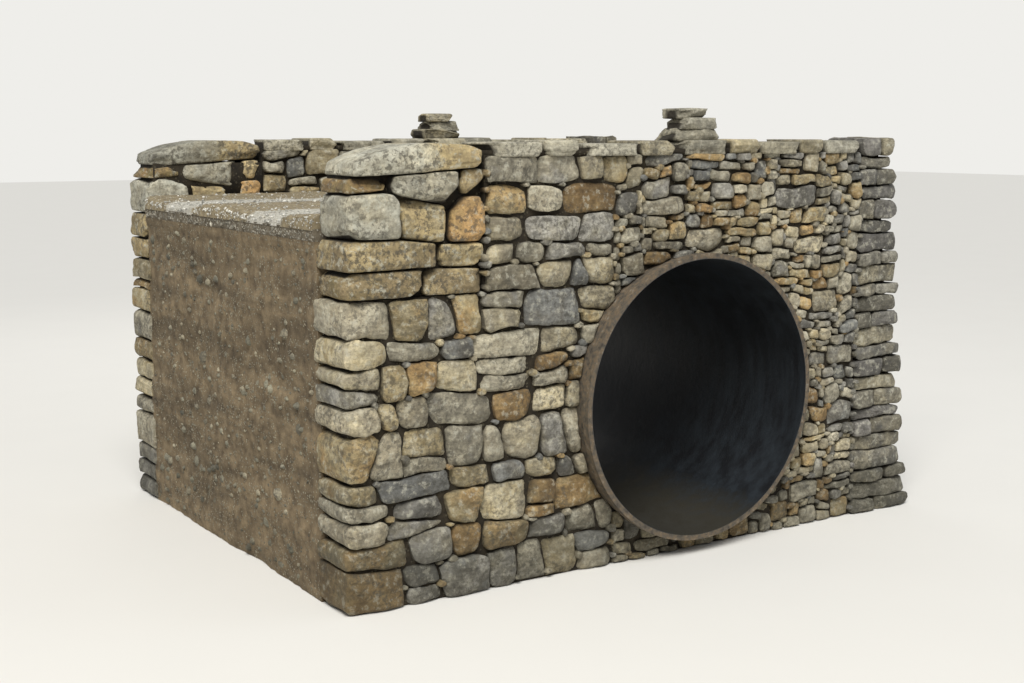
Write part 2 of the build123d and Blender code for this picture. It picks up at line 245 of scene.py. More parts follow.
@dataclass(frozen=True)
class StoneFinish(Finish):
    """Weathered sandstone and fieldstone, split by hand and never polished.

    Splitting leaves a rough matt face with faint bedding bands. Rain, lichen and leaf mould
    leave pale spots on the faces and brown earth in the joints, which also carry painted shade.
    """

    name: str
    hues: tuple[str, ...]
    lichen: str = "b4b1a0"
    film: str = "45423a"
    # Earth in the joints, which also serves as painted shade deep in them
    soil: str = "231d13"
    wet: str = "39372a"
    lichen_amount: float = 0.55
    film_amount: float = 0.62
    cloud_mm: float = 160.0
    bedding_mm: float = 26.0
    blotch_mm: float = 110.0
    stain_mm: float = 900.0
    lichen_mm: float = 55.0
    speck_mm: float = 34.0
    patch_mm: float = 300.0
    dirt_mm: float = 30.0
    grit_mm: float = 3.5
    pit_mm: float = 18.0
    split_mm: float = 52.0
    roughness: float = 0.9
    damp_level: float = 0.42
    damp_edge: float = 0.14

    def build(self, add: Adder, place: Socket) -> bpy.types.Node:
        """Builds the shader.

        Args:
            add: adds a node to the material.
            place: the place in space.

        Returns:
            The shader.
        """
        kind, tone, recess = (add("Attribute", attribute_name=name).outputs["Fac"] for name in POINT_VALUES)
        cloud = add("TexNoise", place, Scale=per_mm(self.cloud_mm), Detail=5.0, Roughness=0.6)
        blotch = add("TexNoise", place, Scale=per_mm(self.blotch_mm), Detail=6.0, Roughness=0.62)
        pits = add("TexNoise", place, Scale=per_mm(self.pit_mm), Detail=6.0, Roughness=0.7)
        specks = add("TexNoise", place, Scale=per_mm(self.speck_mm), Detail=7.0, Roughness=0.7)
        # Bedding bands of the sandstone, long across and thin up the stone
        long, thin = per_mm(self.bedding_mm * 9), per_mm(self.bedding_mm)
        stretched = add("Mapping", place, Scale=(long, long, thin))
        bands = add("TexNoise", stretched, Scale=1.0, Detail=3.0, Distortion=0.6)

        hue = self.hue(add, kind, cloud)
        clean = self.clean(add, place, hue, (tone, blotch, pits, bands))
        dirty_and_shaded = self.overgrown_and_shaded(add, place, clean, recess, specks)

        # Damp dark foot, where the stone seldom dries out
        height = add("SeparateXYZ", place).outputs["Z"]
        wave = add("Math", blotch, 0.16, height, operation="MULTIPLY_ADD")
        limits = (self.damp_level, self.damp_level + self.damp_edge, 0.42, 0.0)
        damp = add("MapRange", wave, *limits, interpolation_type="SMOOTHSTEP")
        wet = add("MixRGB", damp, dirty_and_shaded, linear(self.wet))

        # Grit and pits, and flat scallops with sharp ridges between them, left by the hammer and by frost
        rough = add("MapRange", blotch, 0.0, 1.0, self.roughness - 0.1, self.roughness + 0.08)
        grit = add("TexNoise", place, Scale=per_mm(self.grit_mm), Detail=3.0)
        bent = add("MixRGB", 0.05, place, cloud.outputs["Color"], blend_type="ADD")
        split = add("TexVoronoi", bent, Scale=per_mm(self.split_mm))
        normal = add("Bump", Strength=0.5, Distance=2 * MM, Height=grit)
        for relief, strength, deep_mm in ((pits, 0.9, 11), (split, 0.6, 15), (specks, 0.7, 12), (bands, 0.5, 9)):
            normal = add("Bump", Strength=strength, Distance=deep_mm * MM, Height=relief, Normal=normal)
        return add("BsdfPrincipled", Base_Color=wet, Roughness=rough, Normal=normal, IOR=1.5)

    def hue(self, add: Adder, kind: Socket, cloud: bpy.types.Node) -> bpy.types.Node:
        """Hue of a stone, which iron and weather shift a little within it.

        Args:
            add: adds a node to the material.
            kind: the stone's place in the hues.
            cloud: coarse noise.

        Returns:
            The colour.
        """
        shifted = add("MapRange", cloud, 0.3, 0.7, -0.13, 0.13)
        mixed = add("Math", kind, shifted, operation="ADD", use_clamp=True)
        ramp = add("ValToRGB", mixed)
        stops = ramp.color_ramp.elements
        for number in range(1, len(self.hues) - 1):
            stops.new(number / (len(self.hues) - 1))
        for stop, hue in zip(stops, self.hues):
            stop.color = linear(hue)
        return ramp

    def clean(self, add: Adder, place: Socket, hue: Source, parts: tuple[Source, ...]) -> bpy.types.Node:
        """Colour of the bare stone: crust, rain stain over the whole wall, its own grain and its bedding.

        Args:
            add: adds a node to the material.
            place: the place in space.
            hue: the stone's hue.
            parts: its tone, and the noises of its blotches, pits and bands.

        Returns:
            The colour.
        """
        tone, blotch, pits, bands = parts
        crust = add("MapRange", blotch, 0.3, 0.7, 0.58, 1.34)
        shade = add("MapRange", tone, 0.0, 1.0, 0.66, 1.28)
        wide = add("TexNoise", place, Scale=per_mm(self.stain_mm), Detail=3.0)
        stain = add("MapRange", wide, 0.34, 0.62, 0.76, 1.1)
        grain = add("MapRange", pits, 0.34, 0.66, 0.72, 1.2)
        light = crust
        for share in (shade, stain, grain):
            light = add("Math", light, share, operation="MULTIPLY")
        base = add("MixRGB", 1.0, hue, light, blend_type="MULTIPLY")
        band = add("MapRange", bands, 0.35, 0.65, 0.84, 1.14)
        return add("MixRGB", 0.8, base, band, blend_type="MULTIPLY")

    def overgrown_and_shaded(self, add: Adder, place: Socket, clean: Source, recess: Socket, specks: Source) -> bpy.types.Node:
        """Colour with what rain, air and earth leave on the stone, and painted shade deep in the joints.

        Args:
            add: adds a node to the material.
            place: the place in space.
            clean: the bare stone's colour.
            recess: how deep the place lies in a joint.
            specks: fine noise.

        Returns:
            The colour.
        """
        # Lichen spots, only on the open face
        spots = add("TexNoise", place, Scale=per_mm(self.lichen_mm), Detail=8.0, Roughness=0.7)
        spotted = add("MapRange", spots, 0.53, 0.61)
        open_face = add("MapRange", recess, 0.05, 0.5, self.lichen_amount, 0.0)
        lichen = add("Math", spotted, open_face, operation="MULTIPLY")
        grown = add("MixRGB", lichen, clean, linear(self.lichen))

        # Dark film of algae, speckled, in patches
        speckled = add("MapRange", specks, 0.49, 0.57, 0.0, self.film_amount)
        patch = add("TexNoise", place, Scale=per_mm(self.patch_mm), Detail=4.0)
        patched = add("MapRange", patch, 0.4, 0.56, 0.12, 1.0)
        film = add("Math", speckled, patched, operation="MULTIPLY")
        filmed = add("MixRGB", film, grown, linear(self.film))

        # Earth washed into the joints, together with painted shade that darkens a stone where it runs back into a
        # joint
        dirt = add("TexNoise", place, Scale=per_mm(self.dirt_mm), Detail=4.0)
        joint = add("Math", dirt, 0.35, recess, operation="MULTIPLY_ADD")
        soil_and_shade = add("MapRange", joint, 0.34, 0.95, 0.0, 0.95)
        return add("MixRGB", soil_and_shade, filmed, linear(self.soil))


@dataclass(frozen=True)
class EarthFinish(Finish):
    """Packed earth with grit in it: dull, crumbly and a little darker where it stays moist."""

    name: str
    dry: str
    moist: str
    grit_colour: str
    grit_mm: float = 9.0
    grit_share: float = 0.35
    grit_rise: float = 0.35
    clod_mm: float = 70.0
    crumb_mm: float = 20.0
    layer_mm: float = 0.0
    layer_long_mm: float = 1000 / 0.7
    clod_deep_mm: float = 6.0
    crumb_deep_mm: float = 11.0

    def build(self, add: Adder, place: Socket) -> bpy.types.Node:
        """Builds the shader.

        Args:
            add: adds a node to the material.
            place: the place in space.

        Returns:
            The shader.
        """
        clods = add("TexNoise", place, Scale=per_mm(self.clod_mm), Detail=7.0, Roughness=0.65)
        mixed = add("MapRange", clods, 0.35, 0.65)
        soil = add("MixRGB", mixed, linear(self.moist), linear(self.dry))
        if self.layer_mm:
            # Lifts of darker and paler earth, as they were tipped and rammed
            long, thin = per_mm(self.layer_long_mm), per_mm(self.layer_mm)
            flatten = add("Mapping", place, Scale=(long, long, thin))
            lifts = add("TexNoise", flatten, Scale=1.0, Detail=5.0, Distortion=0.8)
            lift = add("MapRange", lifts, 0.38, 0.62, 0.68, 1.18)
            soil = add("MixRGB", 1.0, soil, lift, blend_type="MULTIPLY")
        shown, drawn = small_stones(add, place, self.grit_mm, 1 - self.grit_share)
        tint = add("MapRange", drawn, 0.0, 1.0, 0.6, 1.15)
        stone = add("MixRGB", 1.0, linear(self.grit_colour), tint, blend_type="MULTIPLY")
        colour = add("MixRGB", shown, soil, stone)
        crumbs = add("TexNoise", place, Scale=per_mm(self.crumb_mm), Detail=7.0, Roughness=0.7)
        normal = add("Bump", Strength=0.7, Distance=self.clod_deep_mm * MM, Height=clods)
        for relief, deep_mm in ((crumbs, self.crumb_deep_mm), (shown, self.grit_mm * self.grit_rise)):
            normal = add("Bump", Strength=0.8, Distance=deep_mm * MM, Height=relief, Normal=normal)
        return add("BsdfPrincipled", Base_Color=colour, Roughness=0.96, Normal=normal, IOR=1.45)


@dataclass(frozen=True)
class LaneFinish(Finish):
    """Crushed limestone rolled into the wheel tracks, thinning out over the gravelly earth beside them.

    The two tracks lie at one distance from the lane's middle line, and wander a little along it.
    """

    name: str
    track: float
    half_width: float
    gravel: tuple[str, str] = ("9c988b", "c3bfb3")
    earth: tuple[str, str] = ("675b45", "948769")
    chip: str = "dedbd1"
    ragged: float = 0.3
    wander: float = 0.22
    wander_mm: float = 900.0
    edge_mm: float = 120.0
    clod_mm: float = 50.0
    chip_mm: float = 17.0

    def build(self, add: Adder, place: Socket) -> bpy.types.Node:
        """Builds the shader.

        Args:
            add: adds a node to the material.
            place: the place in space.

        Returns:
            The shader.
        """
        across = add("SeparateXYZ", place).outputs["Y"]
        wander = add("TexNoise", place, Scale=per_mm(self.wander_mm), Detail=2.0)
        swayed = add("Math", wander, self.wander, across, operation="MULTIPLY_ADD")
        centred = add("Math", swayed, self.wander / 2, operation="SUBTRACT")
        off_centre = add("Math", centred, operation="ABSOLUTE")
        off_track = add("Math", off_centre, self.track, operation="SUBTRACT")
        away = add("Math", off_track, operation="ABSOLUTE")
        edge = add("TexNoise", place, Scale=per_mm(self.edge_mm), Detail=9.0, Roughness=0.8)
        ragged = add("Math", edge, self.ragged, away, operation="MULTIPLY_ADD")
        limit = self.half_width + self.ragged / 2
        gravelly = add("MapRange", ragged, limit - 0.03, limit + 0.02, 1.0, 0.05)
        clods = add("TexNoise", place, Scale=per_mm(self.clod_mm), Detail=8.0, Roughness=0.7)
        shade = add("MapRange", clods, 0.35, 0.65)
        stone, soil = (add("MixRGB", shade, linear(dark), linear(pale)) for dark, pale in (self.gravel, self.earth))
        ground = add("MixRGB", gravelly, soil, stone)
        scarce = add("MapRange", gravelly, 0.0, 1.0, 0.8, 0.12)
        shown, drawn = small_stones(add, place, self.chip_mm, scarce)
        tint = add("MapRange", drawn, 0.0, 1.0, 0.68, 1.0)
        pale = add("MixRGB", 1.0, linear(self.chip), tint, blend_type="MULTIPLY")
        colour = add("MixRGB", shown, ground, pale)
        normal = add("Bump", Strength=0.9, Distance=10 * MM, Height=clods)
        bumps = add("Bump", Strength=0.9, Distance=6 * MM, Height=shown, Normal=normal)
        return add("BsdfPrincipled", Base_Color=colour, Roughness=0.95, Normal=bumps, IOR=1.45)


@dataclass(frozen=True)
class SteelPipeFinish(Finish):
    """Rolled mild steel, coated with bitumen inside and left to rust outside.

    The bore is almost black, with blue-grey streaks of dust and painted sheen, scoured brown along its bottom.
    The outside and the rim have a dull grey-brown rust with a pale worn edge.
    """

    name: str
    axis_height: float
    bore_radius: float
    bitumen: str = "16181b"
    bitumen_dust_and_sheen: str = "262c31"
    rust: str = "554e43"
    rust_dark: str = "352f27"
    rust_bright: str = "665743"
    worn_edge: str = "7c786e"
    silt: str = "39362d"
    silt_levels: tuple[float, float] = (-0.86, -0.7)
    scale_mm: float = 45.0
    flake_mm: float = 7.0
    streak_mm: float = 1000 / 9
    streak_long_mm: float = 625.0

    def build(self, add: Adder, place: Socket) -> bpy.types.Node:
        """Builds the shader.

        Args:
            add: adds a node to the material.
            place: the place in space.

        Returns:
            The shader.
        """
        parts = add("SeparateXYZ", place)
        up = add("Math", parts.outputs["Z"], self.axis_height, operation="SUBTRACT")
        across = add("CombineXYZ", parts.outputs["X"], up, 0.0)
        radius = add("VectorMath", across, operation="LENGTH").outputs["Value"]
        outside = add("MapRange", radius, self.bore_radius + 2 * MM, self.bore_radius + 5 * MM)
        scale = add("TexNoise", place, Scale=per_mm(self.scale_mm), Detail=9.0, Roughness=0.66)
        # Streaks of rust run down the steel
        apart = per_mm(self.streak_mm)
        streaks = add("Mapping", place, Scale=(apart, apart, per_mm(self.streak_long_mm)))
        streak = add("TexNoise", streaks, Scale=1.0, Detail=6.0, Roughness=0.6)

        rusty = add("ValToRGB", scale)
        stops = rusty.color_ramp.elements
        stops[0].position, stops[0].color = 0.34, linear(self.rust_dark)
        stops[1].position, stops[1].color = 0.7, linear(self.worn_edge)
        for spot, hue in ((0.47, self.rust), (0.57, self.rust_bright)):
            stops.new(spot).color = linear(hue)

        # Blue-grey streaks on the bitumen: dust, and a painted blue sheen of reflected light
        dust_and_sheen = add("MapRange", streak, 0.4, 0.7)
        coating = add("MixRGB", dust_and_sheen, linear(self.bitumen), linear(self.bitumen_dust_and_sheen))
        bare = add("MapRange", scale, 0.66, 0.73, 0.0, 0.55)
        chipped = add("MixRGB", bare, coating, linear(self.rust_dark))
        low = add("Math", streak, 0.22, up, operation="MULTIPLY_ADD")
        bed = add("MapRange", low, *self.silt_levels, 0.8, 0.0)
        silted = add("MixRGB", bed, chipped, linear(self.silt))
        colour = add("MixRGB", outside, silted, rusty)

        gloss = add("MapRange", streak, 0.0, 1.0, 0.36, 0.62)
        matt = add("MapRange", scale, 0.0, 1.0, 0.68, 0.95)
        rough = add("MixRGB", outside, gloss, matt)
        flakes = add("TexNoise", place, Scale=per_mm(self.flake_mm), Detail=4.0)
        fine = add("Bump", Strength=0.35, Distance=1.2 * MM, Height=flakes)
        coarse = add("Bump", Strength=0.5, Distance=4 * MM, Height=scale, Normal=fine)
        return add("BsdfPrincipled", Base_Color=colour, Roughness=rough, Normal=coarse)


@dataclass(frozen=True)
class StudioFinish(Finish):
    """Matt painted studio floor, very faintly mottled."""

    name: str = "studio_floor_paint"
    colour: str = "dcdad4"
    mottle_mm: float = 1000 / 1.2

    def build(self, add: Adder, place: Socket) -> bpy.types.Node:
        """Builds the shader.

        Args:
            add: adds a node to the material.
            place: the place in space.

        Returns:
            The shader.
        """
        mottle = add("TexNoise", place, Scale=per_mm(self.mottle_mm), Detail=4.0)
        tint = add("MapRange", mottle, 0.0, 1.0, 0.985, 1.015)
        paint = add("MixRGB", 1.0, linear(self.colour), tint, blend_type="MULTIPLY")
        return add("BsdfPrincipled", Base_Color=paint, Roughness=0.9)


RUBBLE = StoneFinish(
    "split_fieldstone",
    ("8a7048", "a58c60", "9f906c", "b6ab8d", "988f79", "aaa38e", "847e6d", "949188", "6b675d", "7a7a75"),
)
END_STONE = StoneFinish(
    "flat_grey_fieldstone", ("85817a", "6f6c66", "918d80", "7a7566", "64625c", "989079"), bedding_mm=16.0
)
BLOCK = StoneFinish(
    "weathered_sandstone_block",
    ("a3a193", "a29c88", "a89f85", "b3a177", "9c8a67", "8f8058", "ae8d5e"),
    lichen="b9b8a8",
    lichen_amount=0.62,
    film_amount=0.74,
    bedding_mm=38.0,
    blotch_mm=150.0,
    speck_mm=40.0,
)
CAP = StoneFinish(
    "pale_sandstone_flag",
    ("aaa593", "b8b097", "9f9a88", "b3a684"),
    lichen="c0bcab",
    lichen_amount=0.4,
    bedding_mm=14.0,
)
GRAVEL = StoneFinish(
    "crushed_limestone",
    ("d8d6cc", "c7c4b8", "e2e0d8", "bdb8a8"),
    soil="8f8a7a",
    lichen_amount=0.0,
    bedding_mm=20.0,
    blotch_mm=30.0,
)
BASE_STONE = StoneFinish(
    "crushed_base_stone",
    ("a09b8d", "8b8678", "aea99a", "7b7669"),
    soil="5c5342",
    lichen_amount=0.0,
    bedding_mm=20.0,
    blotch_mm=40.0,
)
COBBLE = StoneFinish("creek_cobble", ("8d8874", "7b7868", "9a917a", "6d6a5c"), soil="5a4d38", lichen_amount=0.0)
JOINT_SOIL = EarthFinish("joint_soil_and_spalls", "342d20", "1b160e", "544e3e", grit_mm=22.0)
FILL = EarthFinish(
    "rammed_bank_earth",
    "84745a",
    "574a37",
    "96907c",
    grit_mm=16.0,
    clod_mm=90.0,
    layer_mm=190.0,
    clod_deep_mm=18.0,
)
LANE_BED = EarthFinish("compacted_stone_base", "7d7463", "4f4739", "b2ad9f", grit_mm=20.0, grit_share=0.55)


# Meshes of many stones


@dataclass(frozen=True)
class Cell:
    """One stone's place in a face: a rectangle in the face's plane, before the face is warped."""

    left: float
    right: float
    bottom: float
    top: float

    @property
    def centre(self) -> tuple[float, float]:
        """Middle of the rectangle."""
        return (self.left + self.right) / 2, (self.bottom + self.top) / 2


@dataclass
class Heap:
    """Points, faces and per-point values of many stones that become one mesh."""

    points: list[np.ndarray] = field(default_factory=list)
    faces: list[tuple[int, ...]] = field(default_factory=list)
    values: dict[str, list[np.ndarray]] = field(default_factory=lambda: {name: [] for name in POINT_VALUES})
    slots: list[int] = field(default_factory=list)
    count: int = 0

    def add(self, points: np.ndarray, faces: Faces, slot: int = MAIN, **values: np.ndarray | float) -> None:
        """Adds one closed piece.

        Args:
            points: its points.
            faces: its faces, numbered from its first point.
            slot: its material slot.
            **values: kind, tone and recess, one for all points or one each.
        """
        self.points.append(points)
        self.faces.extend(tuple(i + self.count for i in face) for face in faces)
        self.slots.extend([slot] * len(faces))
        for name, held in self.values.items():
            held.append(np.broadcast_to(np.asarray(values.get(name, 0.5), dtype=float), (len(points),)))
        self.count += len(points)

    def piece(
        self, name: str, finishes: Sequence[Finish], record_slot: str, smooth_angle: float
    ) -> bpy.types.Object:
        """Makes the object.

        Args:
            name: the piece's name.
            finishes: one for each material slot.
            record_slot: not used.
            smooth_angle: edges sharper than this, in degrees, stay sharp.

        Returns:
            The new piece, riding on the bridge.
        """
        mesh = bpy.data.meshes.new(name)
        low, high = (np.array(corner) for corner in CAD_BOX)
        points = np.clip(np.concatenate(self.points), low + INSIDE, high - INSIDE)
        mesh.from_pydata(points.tolist(), [], self.faces)
        for finish in finishes:
            mesh.materials.append(finish.material())
        mesh.polygons.foreach_set("material_index", self.slots)
        for value, held in self.values.items():
            layer = mesh.attributes.new(value, "FLOAT", "POINT")
            layer.data.foreach_set("value", np.concatenate(held).astype(np.float32))
        work = bmesh.new()
        work.from_mesh(mesh)
        bmesh.ops.recalc_face_normals(work, faces=work.faces)
        work.to_mesh(mesh)
        work.free()
        mesh.polygons.foreach_set("use_smooth", [True] * len(mesh.polygons))
        mesh.set_sharp_from_angle(angle=math.radians(smooth_angle))
        thing = bpy.data.objects.new(name, mesh)
        bpy.context.scene.collection.objects.link(thing)
        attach(thing, BODY)
        return thing


@dataclass
class Shelf:
    """Level top of the work so far, over one stretch of wall."""

    left: float
    right: float
    level: float
    joints: list[float] = field(default_factory=list)

    @property
    def room(self) -> float:
        """Length of the stretch."""
        return self.right - self.left


@dataclass(frozen=True)
class Stretch:
    """Stretch of wall to fill with stones: its two ends, and the levels where it begins and stops."""

    start: float
    end: float
    floor: float
    top: float


@dataclass
class Courses:
    """Lays stones the way a waller does: in the lowest gap first, and no joint over a joint."""

    stretches: tuple[Stretch, ...]
    size: Callable[[float], tuple[float, float]]
    rng: random.Random
    least: float = 0.045
    snap: float = 0.3
    break_bond: float = 0.22
    # Spread of the stones' sizes, with their least and most share of the mean
    widths: tuple[float, float, float] = (0.36, 0.5, 2.0)
    heights: tuple[float, float, float] = (0.33, 0.55, 1.8)

    def lay(self) -> list[Cell]:
        """Fills the face.

        Returns:
            The stones' rectangles.
        """
        cells: list[Cell] = []
        work = [Shelf(s.start, s.end, s.floor) for s in self.stretches]
        self.merge(work)
        while True:
            gaps = [shelf for shelf in work if shelf.level < self.highest(shelf) - MM]
            if not gaps:
                return cells
            shelf = min(gaps, key=lambda s: s.level)
            at = work.index(shelf)
            if not self.split(work, at):
                cells.append(self.place(work, at))
                self.merge(work)

    def over(self, shelf: Shelf) -> list[Stretch]:
        """Stretches that a shelf lies in."""
        return [s for s in self.stretches if s.end > shelf.left + MM and s.start < shelf.right - MM]

    def highest(self, shelf: Shelf) -> float:
        """Highest top over a shelf."""
        return max(s.top for s in self.over(shelf))

    def split(self, work: list[Shelf], at: int) -> bool:
        """Cuts a shelf in two where it nears a step in the wall's top.

        Args:
            work: the shelves.
            at: which shelf.

        Returns:
            Whether it was cut.
        """
        shelf = work[at]
        over = self.over(shelf)
        tops = {s.top for s in over}
        if len(tops) < 2 or shelf.level < min(tops) - 2.2 * self.least:
            return False
        cut = over[0].end
        work[at : at + 1] = [Shelf(shelf.left, cut, shelf.level), Shelf(cut, shelf.right, shelf.level)]
        return True

    def beside(self, work: list[Shelf], at: int, step: int, level: float) -> float:
        """Level of the neighbouring work, or none where a finished end stands there.

        Args:
            work: the shelves.
            at: which shelf.
            step: 1 for the next one, -1 for the one before.
            level: the shelf's own level.

        Returns:
            The level, infinite where there is no work to line up with.
        """
        if not 0 <= at + step < len(work):
            return math.inf
        shelf = work[at + step]
        finished = shelf.level > self.highest(shelf) - MM
        return math.inf if finished and shelf.level <= level + MM else shelf.level

    def drawn(self, mean: float, spread: float, least: float, most: float) -> float:
        """A size drawn near the mean."""
        return mean * min(most, max(least, self.rng.lognormvariate(0, spread)))

    def place(self, work: list[Shelf], at: int) -> Cell:
        """Lays one stone in the chosen gap.

        Args:
            work: the shelves.
            at: which shelf.

        Returns:
            The stone's rectangle.
        """
        shelf = work[at]
        ceiling = min(s.top for s in self.over(shelf))
        before, after = (self.beside(work, at, step, shelf.level) for step in (-1, 1))
        mean_width, mean_height = self.size((shelf.left + shelf.right) / 2)
        height = self.drawn(mean_height, *self.heights)
        width = self.drawn(mean_width, *self.widths)
        # A short gap takes one stone or two, and a narrow stone isn't a tall one
        if shelf.room < 1.5 * mean_width:
            width = shelf.room if shelf.room < 0.95 * mean_width else shelf.room * self.rng.uniform(0.42, 0.62)
        if width < 0.6 * mean_width:
            height = min(height, 0.9 * mean_height)
        # The top lines up with a neighbour or with the wall's top, where it nearly does
        for other in (before, after):
            if abs(shelf.level + height - other) < self.snap * mean_height and other > shelf.level + self.least:
                height = other - shelf.level
        if ceiling - shelf.level - height < self.least:
            height = ceiling - shelf.level
        top = shelf.level + height
        if shelf.room - width < max(self.least, 0.3 * mean_width):
            shelf.level, shelf.joints = top, []
            return Cell(shelf.left, shelf.right, top - height, top)
        from_left = before > after if before != after else self.rng.random() < 0.5
        edge = shelf.left + width if from_left else shelf.right - width
        if any(abs(edge - joint) < self.break_bond * mean_width for joint in shelf.joints):
            edge += self.rng.choice((-1, 1)) * 1.5 * self.break_bond * mean_width
            edge = min(max(edge, shelf.left + self.least), shelf.right - self.least)
        rest_left, rest_right = (edge, shelf.right) if from_left else (shelf.left, edge)
        rest = Shelf(rest_left, rest_right, shelf.level, [j for j in shelf.joints if rest_left < j < rest_right])
        laid = Shelf(shelf.left, edge, top) if from_left else Shelf(edge, shelf.right, top)
        work[at : at + 1] = [laid, rest] if from_left else [rest, laid]
        return Cell(laid.left, laid.right, shelf.level, top)

    def merge(self, work: list[Shelf]) -> None:
        """Joins neighbouring shelves of one level that still have room above.

        Args:
            work: the shelves.
        """
        at = 0
        while at + 1 < len(work):
            first, second = work[at], work[at + 1]
            open_both = first.level < self.highest(first) - MM and second.level < self.highest(second) - MM
            if open_both and abs(first.level - second.level) < MM:
                joints = [*first.joints, first.right, *second.joints]
                work[at : at + 2] = [Shelf(first.left, second.right, first.level, joints)]
            else:
                at += 1


@dataclass(frozen=True)
class Dressing:
    """How rough a kind of stone is, in metres."""

    joint: float = 0.008
    bulge: float = 0.016
    skew: float = 0.24
    passes: tuple[int, int] = (1, 2)
    proud: float = 0.027
    depth: float = 0.19
    lump: float = 0.0075
    facets: int = 5
    pinning: float = 0.6
    least: float = 0.012
    five_sided: float = 0.4
    rings: tuple[float, ...] = (0.0, 0.06, 0.14, 0.27, 0.45, 0.7)


PINNING = Dressing(bulge=0.014, proud=0.0, depth=0.12, lump=0.004, facets=2, rings=(0.0, 0.14, 0.36, 0.68))


def tube_faces(count: int, rows: int, through: bool) -> list[tuple[int, ...]]:
    """Faces of a stone made of rings, with the middle of its front after the last ring.

    Args:
        count: points in a ring.
        rows: number of rings, from front to back.
        through: whether the back has a middle point too, after the front's.

    Returns:
        The faces, all round and at both ends.
    """
    faces: list[tuple[int, ...]] = []
    for row, k in product(range(rows - 1), range(count)):
        here, beyond, after = row * count, (row + 1) * count, (k + 1) % count
        faces.append((here + k, here + after, beyond + after, beyond + k))
    faces.extend(((k + 1) % count, k, rows * count) for k in range(count))
    last = (rows - 1) * count
    if through:
        faces.extend((last + k, last + (k + 1) % count, rows * count + 1) for k in range(count))
    else:
        faces.append(tuple(range(last, last + count)))
    return faces


def worn(
    ring: np.ndarray, rng: random.Random, passes: tuple[int, int], longest: float = 0.034, fewest: int = 22
) -> np.ndarray:
    """Outline with its corners knocked off unevenly.

    Args:
        ring: the outline.
        rng: the random draws.
        passes: least and most rounds of wear.
        longest: most distance between its new points.
        fewest: least number of its new points.

    Returns:
        The worn outline.
    """
    around = float(np.linalg.norm(np.roll(ring, -1, axis=0) - ring, axis=1).sum())
    out = Face.refine(ring, min(longest, around / fewest))
    pull = np.array([rng.uniform(0.1, 0.9) for _ in out])[:, None]
    for _ in range(rng.randint(*passes)):
        out = out + pull * ((np.roll(out, 1, axis=0) + np.roll(out, -1, axis=0)) / 2 - out)
    return out


